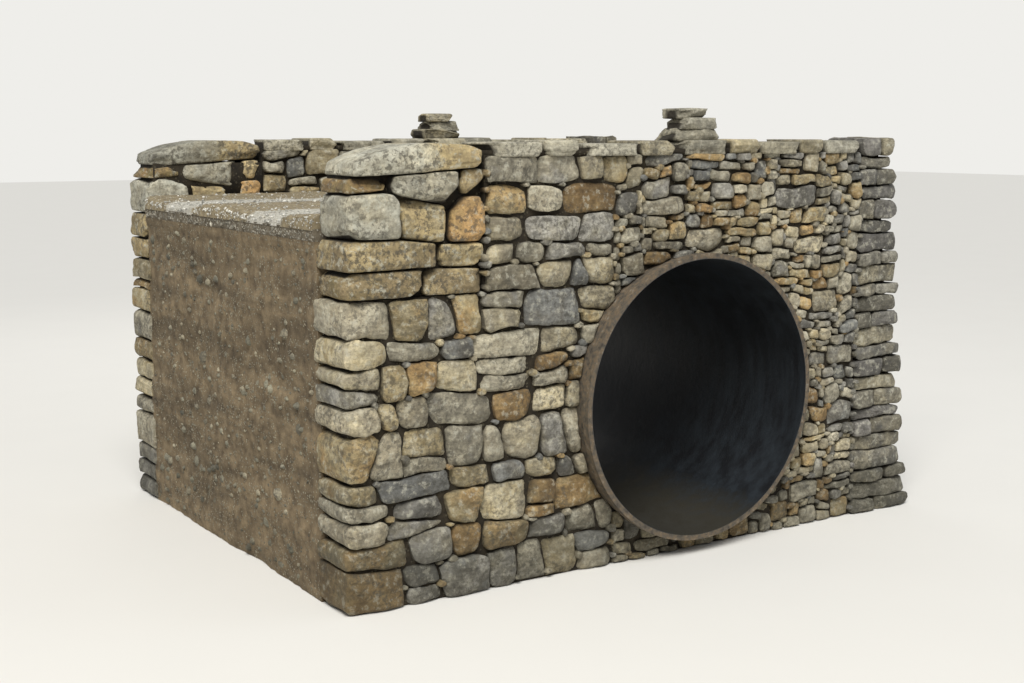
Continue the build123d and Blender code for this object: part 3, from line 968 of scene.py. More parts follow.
@dataclass
class Face:
    """A plane that stones are laid in: X and Z along it, and depth into it."""

    plane: float
    inward: float
    warp: Callable[[np.ndarray], np.ndarray]
    seed: int
    hole: tuple[float, float, float] | None = None
    past_hole: float = 0.028
    foot: float = 0.05

    # Most length of a stone's side between two rings
    SIDE_STEP = 0.12
    # How far back a stone's side is fully darkened by joint soil and painted shade, and the same from where an open
    # side or top begins
    DARK_BY, OPEN_TO, OPEN_FADE = 0.07, 0.025, 0.05
    # Lumps in millimetres, with their share of the stone's roughness
    LUMPS = ((85.0, 1.0), (34.0, 0.5), (17.0, 0.22))

    def outline(self, cell: Cell, style: Dressing, rng: random.Random) -> np.ndarray | None:
        """Uneven outline of a stone, warped with its neighbours.

        Args:
            cell: its rectangle.
            style: how rough it is.
            rng: the random draws.

        Returns:
            Points of X and Z round the stone, or nothing if it falls in the hole.
        """
        left, right, bottom, top = (
            edge + way * style.joint * rng.uniform(0.3, 0.9)
            for edge, way in ((cell.left, 1), (cell.right, -1), (cell.bottom, 1), (cell.top, -1))
        )
        if min(right - left, top - bottom) < style.least:
            return None
        middle = np.array([(left + right) / 2, (bottom + top) / 2])
        half = np.array([(right - left) / 2, (top - bottom) / 2])
        points = []
        for along, up in ((1, 1), (-1, 1), (-1, -1), (1, -1)):
            shy = [1 - style.skew * rng.random() ** 2 for _ in range(2)]
            points.append(middle + half * (along * shy[0], up * shy[1]))
            if rng.random() < style.five_sided:
                side = (0.2 + 0.6 * rng.random()) * along * (1 if along * up < 0 else -1)
                points.append(middle + half * ((-side, up) if along * up > 0 else (along, side)))
        return self.clear_of_hole(self.warp(worn(np.array(points), rng, style.passes)))

    @staticmethod
    def refine(ring: np.ndarray, longest: float) -> np.ndarray:
        """Adds points on the long sides, so that wear and a warp bend them.

        Args:
            ring: the outline.
            longest: most distance between its new points.

        Returns:
            The outline with more points.
        """
        out = []
        for start, end in zip(ring, np.roll(ring, -1, axis=0)):
            parts = max(1, math.ceil(float(np.linalg.norm(end - start)) / longest))
            out.extend(start + (end - start) * k / parts for k in range(parts))
        return np.array(out)

    def clear_of_hole(self, ring: np.ndarray) -> np.ndarray | None:
        """Trims a stone to the round pipe, and drops it where little is left.

        Args:
            ring: the stone's outline.

        Returns:
            The outline that is left, or nothing.
        """
        if self.hole is None:
            return ring
        x, z, radius = self.hole
        offset = ring - (x, z)
        far = np.linalg.norm(offset, axis=1)
        if far.max() < radius + self.past_hole:
            return None
        pushed = (x, z) + offset * (radius / np.maximum(far, MM))[:, None]
        return np.where((far < radius)[:, None], pushed, ring)

    def roughened(self, points: np.ndarray, lump: float, rng: random.Random) -> np.ndarray:
        """Moves the points of a stone by coarse and fine noise of its own.

        Args:
            points: the stone's points.
            lump: how far the coarse noise moves them.
            rng: the random draws.

        Returns:
            The moved points.
        """
        shift = np.array([rng.uniform(0, 40) for _ in range(3)])
        for size_mm, share in self.LUMPS:
            noise = [smooth_noise(points + shift + 9 * axis, size_mm, self.seed + axis) for axis in range(3)]
            points = points + np.column_stack(noise) * (lump * share)
        return points

    def stone(
        self,
        heap: Heap,
        ring: np.ndarray,
        style: Dressing,
        rng: random.Random,
        depth: float,
        kind: float,
        sunk: float = 0.0,
        through: bool = False,
        end: float | None = None,
        top: float | None = None,
    ) -> None:
        """Adds one stone to a heap.

        Args:
            heap: where it goes.
            ring: its outline.
            style: how rough it is.
            rng: the random draws.
            depth: how far it reaches into the wall.
            kind: which of the finish's hues it has, from 0 to 1.
            sunk: how far its face lies behind the plane.
            through: whether its back is a face too.
            end: X of the wall's end, where the stone's side is open.
            top: Z of the wall's top, where the stone's top is open.
        """
        middle = ring.mean(axis=0)
        reach = float(np.linalg.norm(ring - middle, axis=1).mean())
        bulge = min(style.bulge * rng.uniform(0.5, 1.35), reach * 0.5)
        power = rng.uniform(4.5, 9.5)
        set_back = sunk + rng.uniform(-style.proud * 0.3, style.proud)
        # Rings from the face's middle out to its arris, along the sides and in again at the back
        profile = [(share, bulge * (1 - share) ** power) for share in style.rings]
        layers = [(share, set_back + drop) for share, drop in reversed(profile)]
        arris = set_back + bulge
        back = depth - bulge if through else depth
        sides = max(1, round((back - arris) / self.SIDE_STEP))
        layers += [(0.01 * (k % 2), arris + (back - arris) * k / sides) for k in range(1, sides + 1)]
        if through:
            layers += [(share, depth - drop) for share, drop in profile[1:]]
        # Splitting leaves flat facets, and the face leans a little
        facets = []
        for _ in range(style.facets):
            start = rng.uniform(0.15, 0.9)
            angle = rng.uniform(0, math.tau)
            slope = rng.uniform(0.08, 0.3) + 0.7 * max(0.0, start - 0.45)
            facets.append((angle, start * reach, slope))
        lean = np.array([rng.uniform(-0.09, 0.09), rng.uniform(-0.06, 0.11)])
        flats, depths, recesses = [], [], []
        for share, level in layers:
            flat = ring + (middle - ring) * share
            offset = flat - middle
            tilt = offset @ lean
            for angle, start, slope in facets:
                tilt = np.maximum(tilt, slope * (offset @ np.array([math.cos(angle), math.sin(angle)]) - start))
            facing = 1.0 if level < arris + MM else (-0.6 if through and level > back - MM else 0.0)
            behind = min(level, depth - level) if through else level
            # How deep each point lies in a joint, which the finish darkens with soil and painted shade; open sides
            # and tops stay light
            hidden = np.full(len(flat), (behind - set_back) / self.DARK_BY)
            for axis, edge in ((0, end), (1, top)):
                if edge is not None:
                    inside = np.abs(flat[:, axis] - edge) - self.OPEN_TO
                    hidden = np.minimum(hidden, inside / self.OPEN_FADE)
            flats.append(flat)
            depths.append(level + facing * tilt)
            recesses.append(np.clip(hidden, 0, 1))
        # Middle of the face, and of the back where it shows
        for layer in (0, len(layers) - 1) if through else (0,):
            flats.append(middle[None, :])
            depths.append(np.array([depths[layer].mean()]))
            recesses.append(recesses[layer][:1])
        flat, deep = np.concatenate(flats), np.concatenate(depths)
        points = np.column_stack([flat[:, 0], self.plane + self.inward * deep, flat[:, 1]])
        points = self.roughened(points, style.lump, rng)
        faces = tube_faces(len(ring), len(layers), through)
        heap.add(points, faces, kind=kind, tone=rng.random(), recess=np.concatenate(recesses))

    def pinning(self, heap: Heap, x: float, z: float, rng: random.Random) -> None:
        """Adds a small packing stone in the gap where stones meet, clear of the wall's foot.

        Args:
            heap: where it goes.
            x: its middle along the wall.
            z: the height of its middle.
            rng: the random draws.
        """
        z = max(z, self.foot)
        count = rng.randint(7, 10)
        wide, high = rng.uniform(0.018, 0.042), rng.uniform(0.013, 0.026)
        turn = rng.uniform(0, math.tau)
        angles = [turn + math.tau * k / count for k in range(count)]
        points = [
            (x + wide * math.cos(a) * rng.uniform(0.8, 1.2), z + high * math.sin(a) * rng.uniform(0.8, 1.2))
            for a in angles
        ]
        ring = self.clear_of_hole(self.warp(np.array(points)))
        if ring is not None:
            self.stone(heap, ring, PINNING, rng, PINNING.depth, rng.random(), sunk=rng.uniform(0.014, 0.034))


# Stones and earth shaped from the part's own solids


@dataclass(frozen=True)
class Carved:
    """Stone that the part already cuts: X and Z points round it, and how far its face lies back."""

    ring: np.ndarray
    set_back: float

    def broken(
        self, rng: random.Random, joint: float = 0.006, long: float = 0.36, tall: float = 0.2
    ) -> list[np.ndarray]:
        """Cuts some of the long and tall stones in two along a slanted joint.

        Args:
            rng: the random draws.
            joint: half the width of the new joint.
            long: length from which a stone may be cut upright.
            tall: height from which a stone may be cut level.

        Returns:
            The outlines.
        """
        low, high = self.ring.min(axis=0), self.ring.max(axis=0)
        length, height = high - low
        if length > long and rng.random() < 0.42:
            turn = rng.uniform(-0.35, 0.35)
        elif height > tall and rng.random() < 0.45:
            turn = math.pi / 2 + rng.uniform(-0.2, 0.2)
        else:
            return [self.ring]
        at = low + (high - low) * rng.uniform(0.34, 0.66)
        normal = np.array([math.cos(turn), math.sin(turn)])
        return [clipped(self.ring, at, way * normal, joint) for way in (-1, 1)]


def clipped(ring: np.ndarray, at: np.ndarray, normal: np.ndarray, gap: float) -> np.ndarray:
    """Part of an outline that lies beyond a line.

    Args:
        ring: the outline.
        at: a point on the line.
        normal: direction across the line, to the side that stays.
        gap: how far from the line the outline stays.

    Returns:
        The outline's part.
    """
    side = (ring - at) @ normal - gap
    out = []
    for k in range(len(ring)):
        if (side[k - 1] > 0) != (side[k] > 0):
            out.append(ring[k - 1] + (ring[k] - ring[k - 1]) * side[k - 1] / (side[k - 1] - side[k]))
        if side[k] > 0:
            out.append(ring[k])
    return np.array(out)


def welded(node: str) -> bmesh.types.BMesh:
    """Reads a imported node's mesh with its faces joined along their edges.

    Args:
        node: the node's name.

    Returns:
        A mesh that the caller frees.
    """
    work = bmesh.new()
    work.from_mesh(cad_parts[node].data)
    bmesh.ops.remove_doubles(work, verts=work.verts, dist=WELD)
    work.verts.ensure_lookup_table()
    work.faces.index_update()
    return work


def carved_stones(node: str, sign: int, plane: float, arris: float, deepest: float = 0.05) -> list[Carved]:
    """Reads the stones that the part cuts in a face.

    Args:
        node: the wall's node.
        sign: 1 in front, -1 at the rear.
        plane: Y of the front face.
        arris: width of the stones' worn arrises, which their outlines get back.
        deepest: how far back a stone's face may lie.

    Returns:
        The stones, from the lowest left one on. Each outline starts at its lowest left corner.
    """
    work = welded(node)

    def set_back(flat: bmesh.types.BMFace) -> float:
        """How far a face lies behind the front one."""
        return sign * flat.calc_center_median().y - plane

    left = {f for f in work.faces if sign * f.normal.y < -0.99 and set_back(f) < deepest}
    stones = []
    for first in work.faces:
        if first not in left:
            continue
        group, queue = {first}, [first]
        while queue:
            beside = {f for edge in queue.pop().edges for f in edge.link_faces if f in left} - group
            group |= beside
            queue.extend(beside)
        left -= group
        after = {}
        for loop in (loop for f in sorted(group, key=lambda f: f.index) for loop in f.loops):
            if len(group.intersection(loop.edge.link_faces)) == 1:
                after[loop.vert] = loop.link_loop_next.vert
        start = next(iter(after))
        ring = [start]
        while after[ring[-1]] is not start:
            ring.append(after[ring[-1]])
        flat = np.array([(v.co.x, v.co.z) for v in ring[::sign]])
        flat = np.roll(flat, -int(np.lexsort(flat.round(3).T)[0]), axis=0)
        ahead = np.roll(flat, -1, axis=0) - flat
        ahead /= np.linalg.norm(ahead, axis=1)[:, None]
        out = np.column_stack([ahead[:, 1], -ahead[:, 0]])
        before = np.roll(out, 1, axis=0)
        flat = flat + (out + before) * (arris / (1 + (out * before).sum(axis=1)))[:, None]
        stones.append(Carved(flat, set_back(first)))
    work.free()
    return sorted(stones, key=lambda s: tuple(s.ring.min(axis=0)[::-1].round(3)))


def packed_core(heap: Heap, corners: np.ndarray) -> None:
    """Adds a block of packed soil with eight corners.

    Args:
        heap: where it goes.
        corners: its corners, Z changing first, then Y, then X.
    """
    sides = [(0, 1, 3, 2), (4, 6, 7, 5), (0, 4, 5, 1), (2, 3, 7, 6), (0, 2, 6, 4), (1, 5, 7, 3)]
    heap.add(corners, sides, slot=PACKED)


def solids_of(node: str) -> list[tuple[np.ndarray, Faces]]:
    """Splits a node's mesh into its separate solids.

    Args:
        node: the node's name.

    Returns:
        Points and faces of each solid, from the lowest left one on.
    """
    work = welded(node)
    seen: set[int] = set()
    solids = []
    for first in work.verts:
        if first.index in seen:
            continue
        group, queue = [], [first]
        seen.add(first.index)
        while queue:
            at = queue.pop()
            group.append(at)
            for edge in at.link_edges:
                other = edge.other_vert(at)
                if other.index not in seen:
                    seen.add(other.index)
                    queue.append(other)
        number = {v.index: k for k, v in enumerate(group)}
        faces = sorted({f for v in group for f in v.link_faces}, key=lambda f: f.index)
        points = np.array([v.co for v in group])
        solids.append((points, [tuple(number[v.index] for v in f.verts) for f in faces]))
    work.free()
    return sorted(solids, key=lambda s: (round(float(s[0][:, 2].min()), 2), float(s[0][:, 0].min())))


@dataclass(frozen=True)
class Weathering:
    """How far a squared block has worn from its cut shape, in metres, and how far apart its lumps lie."""

    voxel: float = 0.018
    rounding: int = 7
    swell: float = 0.016
    lump: float = 0.011
    grain: float = 0.0045
    chips: int = 9
    chip_depth: float = 0.024
    strata: float = 0.006
    bed_wear: float = 0.4
    lump_mm: float = 75.0
    grain_mm: float = 27.0
    strata_mm: float = 50.0
    strata_bend_mm: float = 420.0


def middle_and_half(points: np.ndarray) -> tuple[np.ndarray, np.ndarray]:
    """Middle of the box round some points, and half its size."""
    low, high = points.min(axis=0), points.max(axis=0)
    return (low + high) / 2, (high - low) / 2


def rounded_block(points: np.ndarray, faces: Faces, wear: Weathering) -> tuple[np.ndarray, Faces, np.ndarray]:
    """Divides a block finely and rounds its arrises, at its full size.

    Args:
        points: the block's points.
        faces: its faces.
        wear: how far it has worn.

    Returns:
        Points, faces and normals of the rounded block.
    """
    blank_mesh = bpy.data.meshes.new("blank")
    blank_mesh.from_pydata(points.tolist(), [], faces)
    blank = bpy.data.objects.new("blank", blank_mesh)
    bpy.context.scene.collection.objects.link(blank)
    remesh = blank.modifiers.new("voxels", "REMESH")
    remesh.mode = "VOXEL"
    remesh.voxel_size = wear.voxel
    rounding = blank.modifiers.new("rounding", "SMOOTH")
    rounding.factor = 0.5
    rounding.iterations = wear.rounding
    worn = blank.evaluated_get(bpy.context.evaluated_depsgraph_get()).to_mesh()
    out = np.array([v.co for v in worn.vertices])
    normals = np.array([v.normal for v in worn.vertices])
    quads = [tuple(p.vertices) for p in worn.polygons]
    bpy.data.objects.remove(blank)
    bpy.data.meshes.remove(blank_mesh)
    middle, half = middle_and_half(points)
    worn_middle, worn_half = middle_and_half(out)
    return middle + (out - worn_middle) * (half / worn_half), quads, normals


def weather(
    points: np.ndarray, faces: Faces, wear: Weathering, rng: random.Random
) -> tuple[np.ndarray, Faces, np.ndarray]:
    """Wears a block: rounds its arrises, knocks off corners and roughens its faces, always inwards.

    Args:
        points: the block's points.
        faces: its faces.
        wear: how far it has worn.
        rng: the random draws.

    Returns:
        Points, faces and normals of the worn block.
    """
    out, quads, normals = rounded_block(points, faces, wear)
    middle, half = middle_and_half(points)
    # Corners and arrises that got knocked off
    for _ in range(wear.chips):
        way = np.array([rng.choice((-1, 1)) * rng.uniform(0.35, 1.0) for _ in range(3)])
        way[rng.randrange(3)] *= rng.uniform(0.0, 0.5)
        way /= np.linalg.norm(way)
        edge = float(((out - middle) @ way).max()) - wear.chip_depth * rng.uniform(0.4, 1.6)
        over = np.maximum((out - middle) @ way - edge, 0.0)
        out -= np.outer(over * 0.9, way)
    shift = np.array([rng.uniform(0, 60) for _ in range(3)])
    seed = rng.randrange(1000)
    size = float(half.mean()) * 900
    inward = wear.swell * (0.5 + 0.5 * smooth_noise(out + shift, size, seed))
    inward += wear.lump * (0.5 + 0.5 * smooth_noise(out + shift, wear.lump_mm, seed + 1))
    inward += wear.grain * (0.5 + 0.5 * smooth_noise(out + shift, wear.grain_mm, seed + 2))
    # Softer beds of the sandstone wear back in bands, a little off level
    bent = 0.05 * smooth_noise(out + shift, wear.strata_bend_mm, seed + 3)
    tilted = out[:, 2] + bent + out[:, 0] * rng.uniform(-0.12, 0.12)
    level = np.column_stack([tilted, tilted * 0, tilted * 0])
    beds = smooth_noise(level + shift, wear.strata_mm, seed + 4)
    inward += wear.strata * np.clip(1.6 * beds, 0, 1)
    inward *= 1 - (1 - wear.bed_wear) * smoothstep(np.abs(normals[:, 2]), 0.5, 0.95)
    return out - normals * inward[:, None], quads, normals


def hidden_share(
    points: np.ndarray, normals: np.ndarray, open_sides: str, arris: float = 0.03, fade: float = 0.06
) -> np.ndarray:
    """How far each point of a block hides in the joints beside it.

    Args:
        points: the block's points.
        normals: their directions.
        open_sides: sides other than front and back that stand free, such as "-x+z".
        arris: how far in from the face the joint begins.
        fade: how much further in it is dark.

    Returns:
        From 0 on a face to 1 deep in a joint.
    """
    # Depth in a joint, which the stone finish darkens with soil and painted shade
    across = points[:, 1]
    hidden = np.clip((np.minimum(across - across.min(), across.max() - across) - arris) / fade, 0, 1)
    for sign, name in zip(open_sides[::2], open_sides[1::2]):
        facing = normals[:, "xyz".index(name)] * (-1 if sign == "-" else 1)
        hidden = hidden * (1 - smoothstep(facing, 0.15, 0.55))
    return hidden


def grid_panel(
    heap: Heap,
    across: np.ndarray,
    up: np.ndarray,
    place: Callable[[np.ndarray, np.ndarray], np.ndarray],
    back: np.ndarray,
) -> None:
    """Adds a closed slab with one finely divided face.

    Args:
        heap: where it goes.
        across: positions of the columns.
        up: positions of the rows.
        place: turns positions across and up to points of the fine face.
        back: shift from the fine face's border to the slab's back.
    """
    grid_u, grid_v = np.meshgrid(across, up)
    points = place(grid_u.ravel(), grid_v.ravel())
    wide, high = len(across), len(up)
    faces = [
        (row * wide + k, row * wide + k + 1, (row + 1) * wide + k + 1, (row + 1) * wide + k)
        for row, k in product(range(high - 1), range(wide - 1))
    ]
    border = [*range(wide), *(row * wide + wide - 1 for row in range(1, high))]
    border += [*range(high * wide - 2, (high - 1) * wide - 1, -1), *(row * wide for row in range(high - 2, 0, -1))]
    rim = points[border] + back
    first = len(points)
    count = len(border)
    faces += [(border[(k + 1) % count], border[k], first + k, first + (k + 1) % count) for k in range(count)]
    faces.append(tuple(range(first, first + count)))
    heap.add(np.concatenate([points, rim]), faces, recess=0.0)


def pebble_shape(divisions: int) -> tuple[np.ndarray, np.ndarray]:
    """Round pebble of radius 1.

    Args:
        divisions: how finely it is divided.

    Returns:
        Its points and triangles.
    """
    work = bmesh.new()
    bmesh.ops.create_icosphere(work, subdivisions=divisions, radius=1.0)
    work.verts.ensure_lookup_table()
    points = np.array([v.co for v in work.verts])
    faces = np.array([[v.index for v in f.verts] for f in work.faces])
    work.free()
    return points, faces


def scatter(
    heap: Heap, centres: np.ndarray, sizes: np.ndarray, divisions: int, rough: float, flatness: float, seed: int
) -> None:
    """Adds many pebbles or crushed stones.

    Args:
        heap: where they go.
        centres: their middles.
        sizes: their diameters.
        divisions: how finely each is divided.
        rough: how angular they are, from 0 to 1.
        flatness: height over width.
        seed: picks the draws.
    """
    draw = np.random.default_rng(seed)
    shape, faces = pebble_shape(divisions)
    number = len(centres)
    axes = np.linalg.qr(draw.normal(size=(number, 3, 3)))[0]
    stretch = draw.uniform(0.7, 1.25, size=(number, 1, 3)) * (sizes / 2)[:, None, None]
    body = shape[None] * (1 + rough * draw.uniform(-1, 0.6, size=(number, len(shape), 1)))
    body = np.einsum("nij,nkj->nki", axes, body * stretch)
    body[:, :, 2] *= flatness
    points = (body + centres[:, None, :]).reshape(-1, 3)
    index = (faces[None] + (np.arange(number) * len(shape))[:, None, None]).reshape(-1, 3)
    kind, tone = (np.repeat(draw.random(number), len(shape)) for _ in range(2))
    heap.add(points, [tuple(f) for f in index.tolist()], slot=PACKED, kind=kind, tone=tone, recess=0.0)


# Sub-assemblies


@dataclass
class Bridge:
    """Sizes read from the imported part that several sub-assemblies share."""

    left: float = 0.0
    lane_end: float = 0.0
    haunch: float = 0.0
    right_wall_end: float = 0.0
    face: float = 0.0
    back: float = 0.0
    lane: float = 0.0
    parapet_top: float = 0.0
    terminal_right: float = 0.0
    terminal_bed: float = 0.0
    axis: float = 0.0
    pipe_radius: float = 0.0
    bore_radius: float = 0.0

    def __post_init__(self) -> None:
        """Reads the sizes from the frame."""
        over_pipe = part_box("front_spandrel")
        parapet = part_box("front_left_parapet")
        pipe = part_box("culvert_pipe")
        self.face, self.back = over_pipe[0].y, over_pipe[1].y
        self.haunch = over_pipe[0].x
        self.left, self.lane_end = (corner.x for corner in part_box("lane_bed"))
        self.right_wall_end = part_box("front_right_wall")[1].x
        self.lane, self.parapet_top = parapet[0].z, parapet[1].z
        self.terminal_right, self.terminal_bed = parapet[0].x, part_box("front_lower_end_blocks")[0].z
        self.axis = (pipe[0].z + pipe[1].z) / 2
        self.pipe_radius = (pipe[1].x - pipe[0].x) / 2
        points, _ = node_mesh("culvert_pipe")
        self.bore_radius = float(np.min(np.hypot(points[:, 0], points[:, 2] - self.axis)))


class Side(Enum):
    """Which side of the lane, and the sign that turns the front into it."""

    FRONT = ("front", 1)
    REAR = ("rear", -1)

    def node(self, name: str) -> str:
        """Name of this side's node."""
        return f"{self.value[0]}_{name}"

    @property
    def sign(self) -> int:
        """1 in front, -1 at the rear."""
        return self.value[1]


def finish_piece(
    heap: Heap, node: str, finishes: Sequence[Finish], record_slot: str, smooth_angle: float = 40.0
) -> None:
    """Makes a heap the visible form of a node.

    Args:
        heap: the meshes.
        node: the node that it stands for.
        finishes: one for each material slot.
        record_slot: not used.
        smooth_angle: edges sharper than this, in degrees, stay sharp.
    """
    piece = heap.piece(f"{node}_detail", finishes, record_slot, smooth_angle)
    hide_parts(node)
    LOG.info("%s: %d triangles", piece.name, sum(len(p.vertices) - 2 for p in piece.data.polygons))


@dataclass
class Headwall:
    """Rubble headwall with its parapet, laid as one face and shared out to the part's nodes."""

    side: Side
    bridge: Bridge
    seed: int
    core_recess: float = 0.068
    lane_cover: float = 0.05
    arris: float = 0.024
    largest: tuple[float, float] = (0.35, 0.185)
    dwindle: tuple[float, float] = (0.165, 0.09)
    dressing: Dressing = Dressing()
    big_dressing: Dressing = Dressing(bulge=0.022, passes=(1, 4), proud=0.004, depth=0.22, lump=0.01, facets=7)

    NODES = ("left_wall", "right_wall", "sill", "spandrel", "left_parapet", "middle_parapet", "right_parapet")
    # Waves of the courses: their length in millimetres, and how far they move a joint in metres
    WAVES = ((420.0, 0.04), (170.0, 0.03), (75.0, 0.009))

    def size_at(self, x: float) -> tuple[float, float]:
        """Typical width and height of a stone: big at the left, small at the right.

        Args:
            x: its place along the wall.

        Returns:
            The width and the height.
        """
        share = float(smoothstep(x, -1.7, 0.3))
        width, height = (most - loss * share for most, loss in zip(self.largest, self.dwindle))
        return width, height

    def warp(self, points: np.ndarray) -> np.ndarray:
        """Bends the courses, and leaves the face's own edges straight.

        Args:
            points: places in the face, X and Z.

        Returns:
            The moved places.
        """
        b = self.bridge
        flat = np.column_stack([points[:, 0], np.full(len(points), self.seed * 3.7), points[:, 1]])
        held = (
            smoothstep(points[:, 0] - b.left, 0.0, 0.12)
            * smoothstep(points[:, 1], 0.0, 0.1)
            * smoothstep(b.parapet_top - points[:, 1], 0.0, 0.1)
            * smoothstep(b.right_wall_end - points[:, 0], 0.0, 0.1)
        )
        off_terminal = np.maximum(points[:, 0] - b.terminal_right, b.terminal_bed - points[:, 1])
        held = held * smoothstep(off_terminal, 0.0, 0.1)
        past_haunch = smoothstep(points[:, 0] - b.haunch, -0.1, 0.35)
        loose = np.maximum(past_haunch, smoothstep(points[:, 1] - b.lane, 0.0, 0.25))
        held = held * (0.36 + 0.64 * loose)
        out = points.copy()
        for axis in range(2):
            for size, reach in self.WAVES:
                out[:, axis] += held * reach * smooth_noise(flat, size, self.seed + 10 * axis + int(size))
        return out

    def place_of(self, x: float, z: float) -> str:
        """Which node of the headwall a stone belongs to.

        Args:
            x: the stone's place along the wall.
            z: its height.

        Returns:
            The node's name, without its side.
        """
        low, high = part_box(self.side.node("sill"))
        if z > self.bridge.lane:
            left, right = (corner.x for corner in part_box(self.side.node("middle_parapet")))
            return "left_parapet" if x < left else ("middle_parapet" if x < right else "right_parapet")
        if low.x < x < high.x:
            return "sill" if z < self.bridge.axis else "spandrel"
        return "left_wall" if x < 0 else "right_wall"

    def core(self, heap: Heap, node: str) -> None:
        """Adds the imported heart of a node, set back behind its stones.

        Args:
            heap: the node's mesh.
            node: the node's name, without its side.
        """
        points, faces = node_mesh(self.side.node(node))
        sign = self.side.sign
        out = points.copy()
        back = self.bridge.back - (self.core_recess if node.endswith("parapet") else 0.0)
        out[:, 1] = sign * np.clip(sign * out[:, 1], self.bridge.face + self.core_recess, back)
        out[:, 0] = np.maximum(out[:, 0], self.bridge.left + self.core_recess)
        heap.add(out, faces, slot=PACKED)

    def belly(self, x: float, z: float) -> float:
        """How far the whole face lies behind its plane, as it bulges and sags along the wall."""
        return 0.012 + 0.014 * float(smooth_noise(np.array([[x, self.seed, z]]), 800.0, self.seed + 7)[0])

    def hue(self, x: float, z: float, rng: random.Random) -> float:
        """Kind of stone at a place: more ochre by the pipe's right side, greyer towards both ends.

        Args:
            x: the stone's place along the wall.
            z: its height.
            rng: the random draws.

        Returns:
            Place in the finish's hues, from 0 to 1.
        """
        b = self.bridge
        by_pipe = math.exp(-(((x - 1.12) / 0.3) ** 2)) * (z < b.lane)
        drift = 0.16 * float(smooth_noise(np.array([[x, self.seed, z]]), 700.0, self.seed + 3)[0])
        kind = 0.5 + drift - 0.2 * by_pipe + 0.12 * (x > 1.45) + rng.gauss(0, 0.26)
        return min(1.0, max(0.0, kind))

    def large_stones(self, heap: Heap, face: Face, rng: random.Random) -> None:
        """Lays the large stones left of the pipe where the part has them.

        Args:
            heap: the left wall's mesh.
            face: the outer face.
            rng: the random draws.
        """
        b, style = self.bridge, self.big_dressing
        for stone in carved_stones(self.side.node("left_wall"), self.side.sign, b.face, self.arris):
            for outline in stone.broken(rng):
                end = b.left if outline[:, 0].min() < b.left + self.arris else None
                ring = face.clear_of_hole(self.warp(worn(outline, rng, style.passes)))
                if ring is None:
                    continue
                reach = style.depth * rng.uniform(0.75, 1.1) if end is None else b.back - b.face - 0.004
                hue = self.hue(*ring.mean(axis=0), rng)
                face.stone(heap, ring, style, rng, reach, hue, stone.set_back, end=end)
                if end is None and rng.random() < style.pinning:
                    face.pinning(heap, *outline[rng.randrange(len(outline))], rng)

    def break_joint(self, heaps: dict[str, Heap], face: Face, rng: random.Random) -> None:
        """Packs small stones into the upright joint beside the end blocks.

        Args:
            heaps: the headwall's meshes by node.
            face: the outer face.
            rng: the draws for these stones alone.
        """
        b = self.bridge
        level = b.terminal_bed + 0.03
        while level < b.parapet_top - 0.06:
            node = "left_parapet" if level > b.lane else "left_wall"
            face.pinning(heaps[node], b.terminal_right + rng.uniform(-0.004, 0.01), level, rng)
            level += rng.uniform(0.045, 0.13)

    def build(self) -> None:
        """Lays the face, the lane side of the parapet and the cores."""
        b, sign, rng = self.bridge, self.side.sign, random.Random(self.seed)
        heaps = {name: Heap() for name in self.NODES}
        face = Face(sign * b.face, sign, self.warp, self.seed, (0.0, b.axis, b.pipe_radius + 0.006))
        self.large_stones(heaps["left_wall"], face, rng)
        stretches = (
            Stretch(b.terminal_right, b.haunch, b.lane, b.parapet_top),
            Stretch(b.haunch, b.right_wall_end, 0.0, b.parapet_top),
        )
        for cell in Courses(stretches, self.size_at, rng).lay():
            ring = face.outline(cell, self.dressing, rng)
            if ring is None:
                continue
            x, z = cell.centre
            heap = heaps[self.place_of(x, z)]
            depth = self.dressing.depth * rng.uniform(0.75, 1.1)
            face.stone(heap, ring, self.dressing, rng, depth, self.hue(x, z, rng), self.belly(x, z))
            inside = cell.left > b.terminal_right + 0.05 and cell.top < b.parapet_top - 0.05
            if inside and rng.random() < self.dressing.pinning:
                face.pinning(heap, cell.left, cell.top, rng)
        inner = Face(sign * b.back, -sign, self.warp, self.seed + 40)
        lane_side = Stretch(b.terminal_right, b.right_wall_end, b.lane - self.lane_cover, b.parapet_top)
        for cell in Courses((lane_side,), self.size_at, rng).lay():
            ring = inner.outline(cell, self.dressing, rng)
            if ring is not None:
                heap = heaps[self.place_of(cell.centre[0], b.lane + MM)]
                inner.stone(heap, ring, self.dressing, rng, 0.15, self.hue(*cell.centre, rng))
        self.break_joint(heaps, face, random.Random(self.seed + 9))
        for name, heap in heaps.items():
            self.core(heap, name)
            finish_piece(heap, self.side.node(name), (RUBBLE, JOINT_SOIL), "rubble_stone", smooth_angle=34.0)


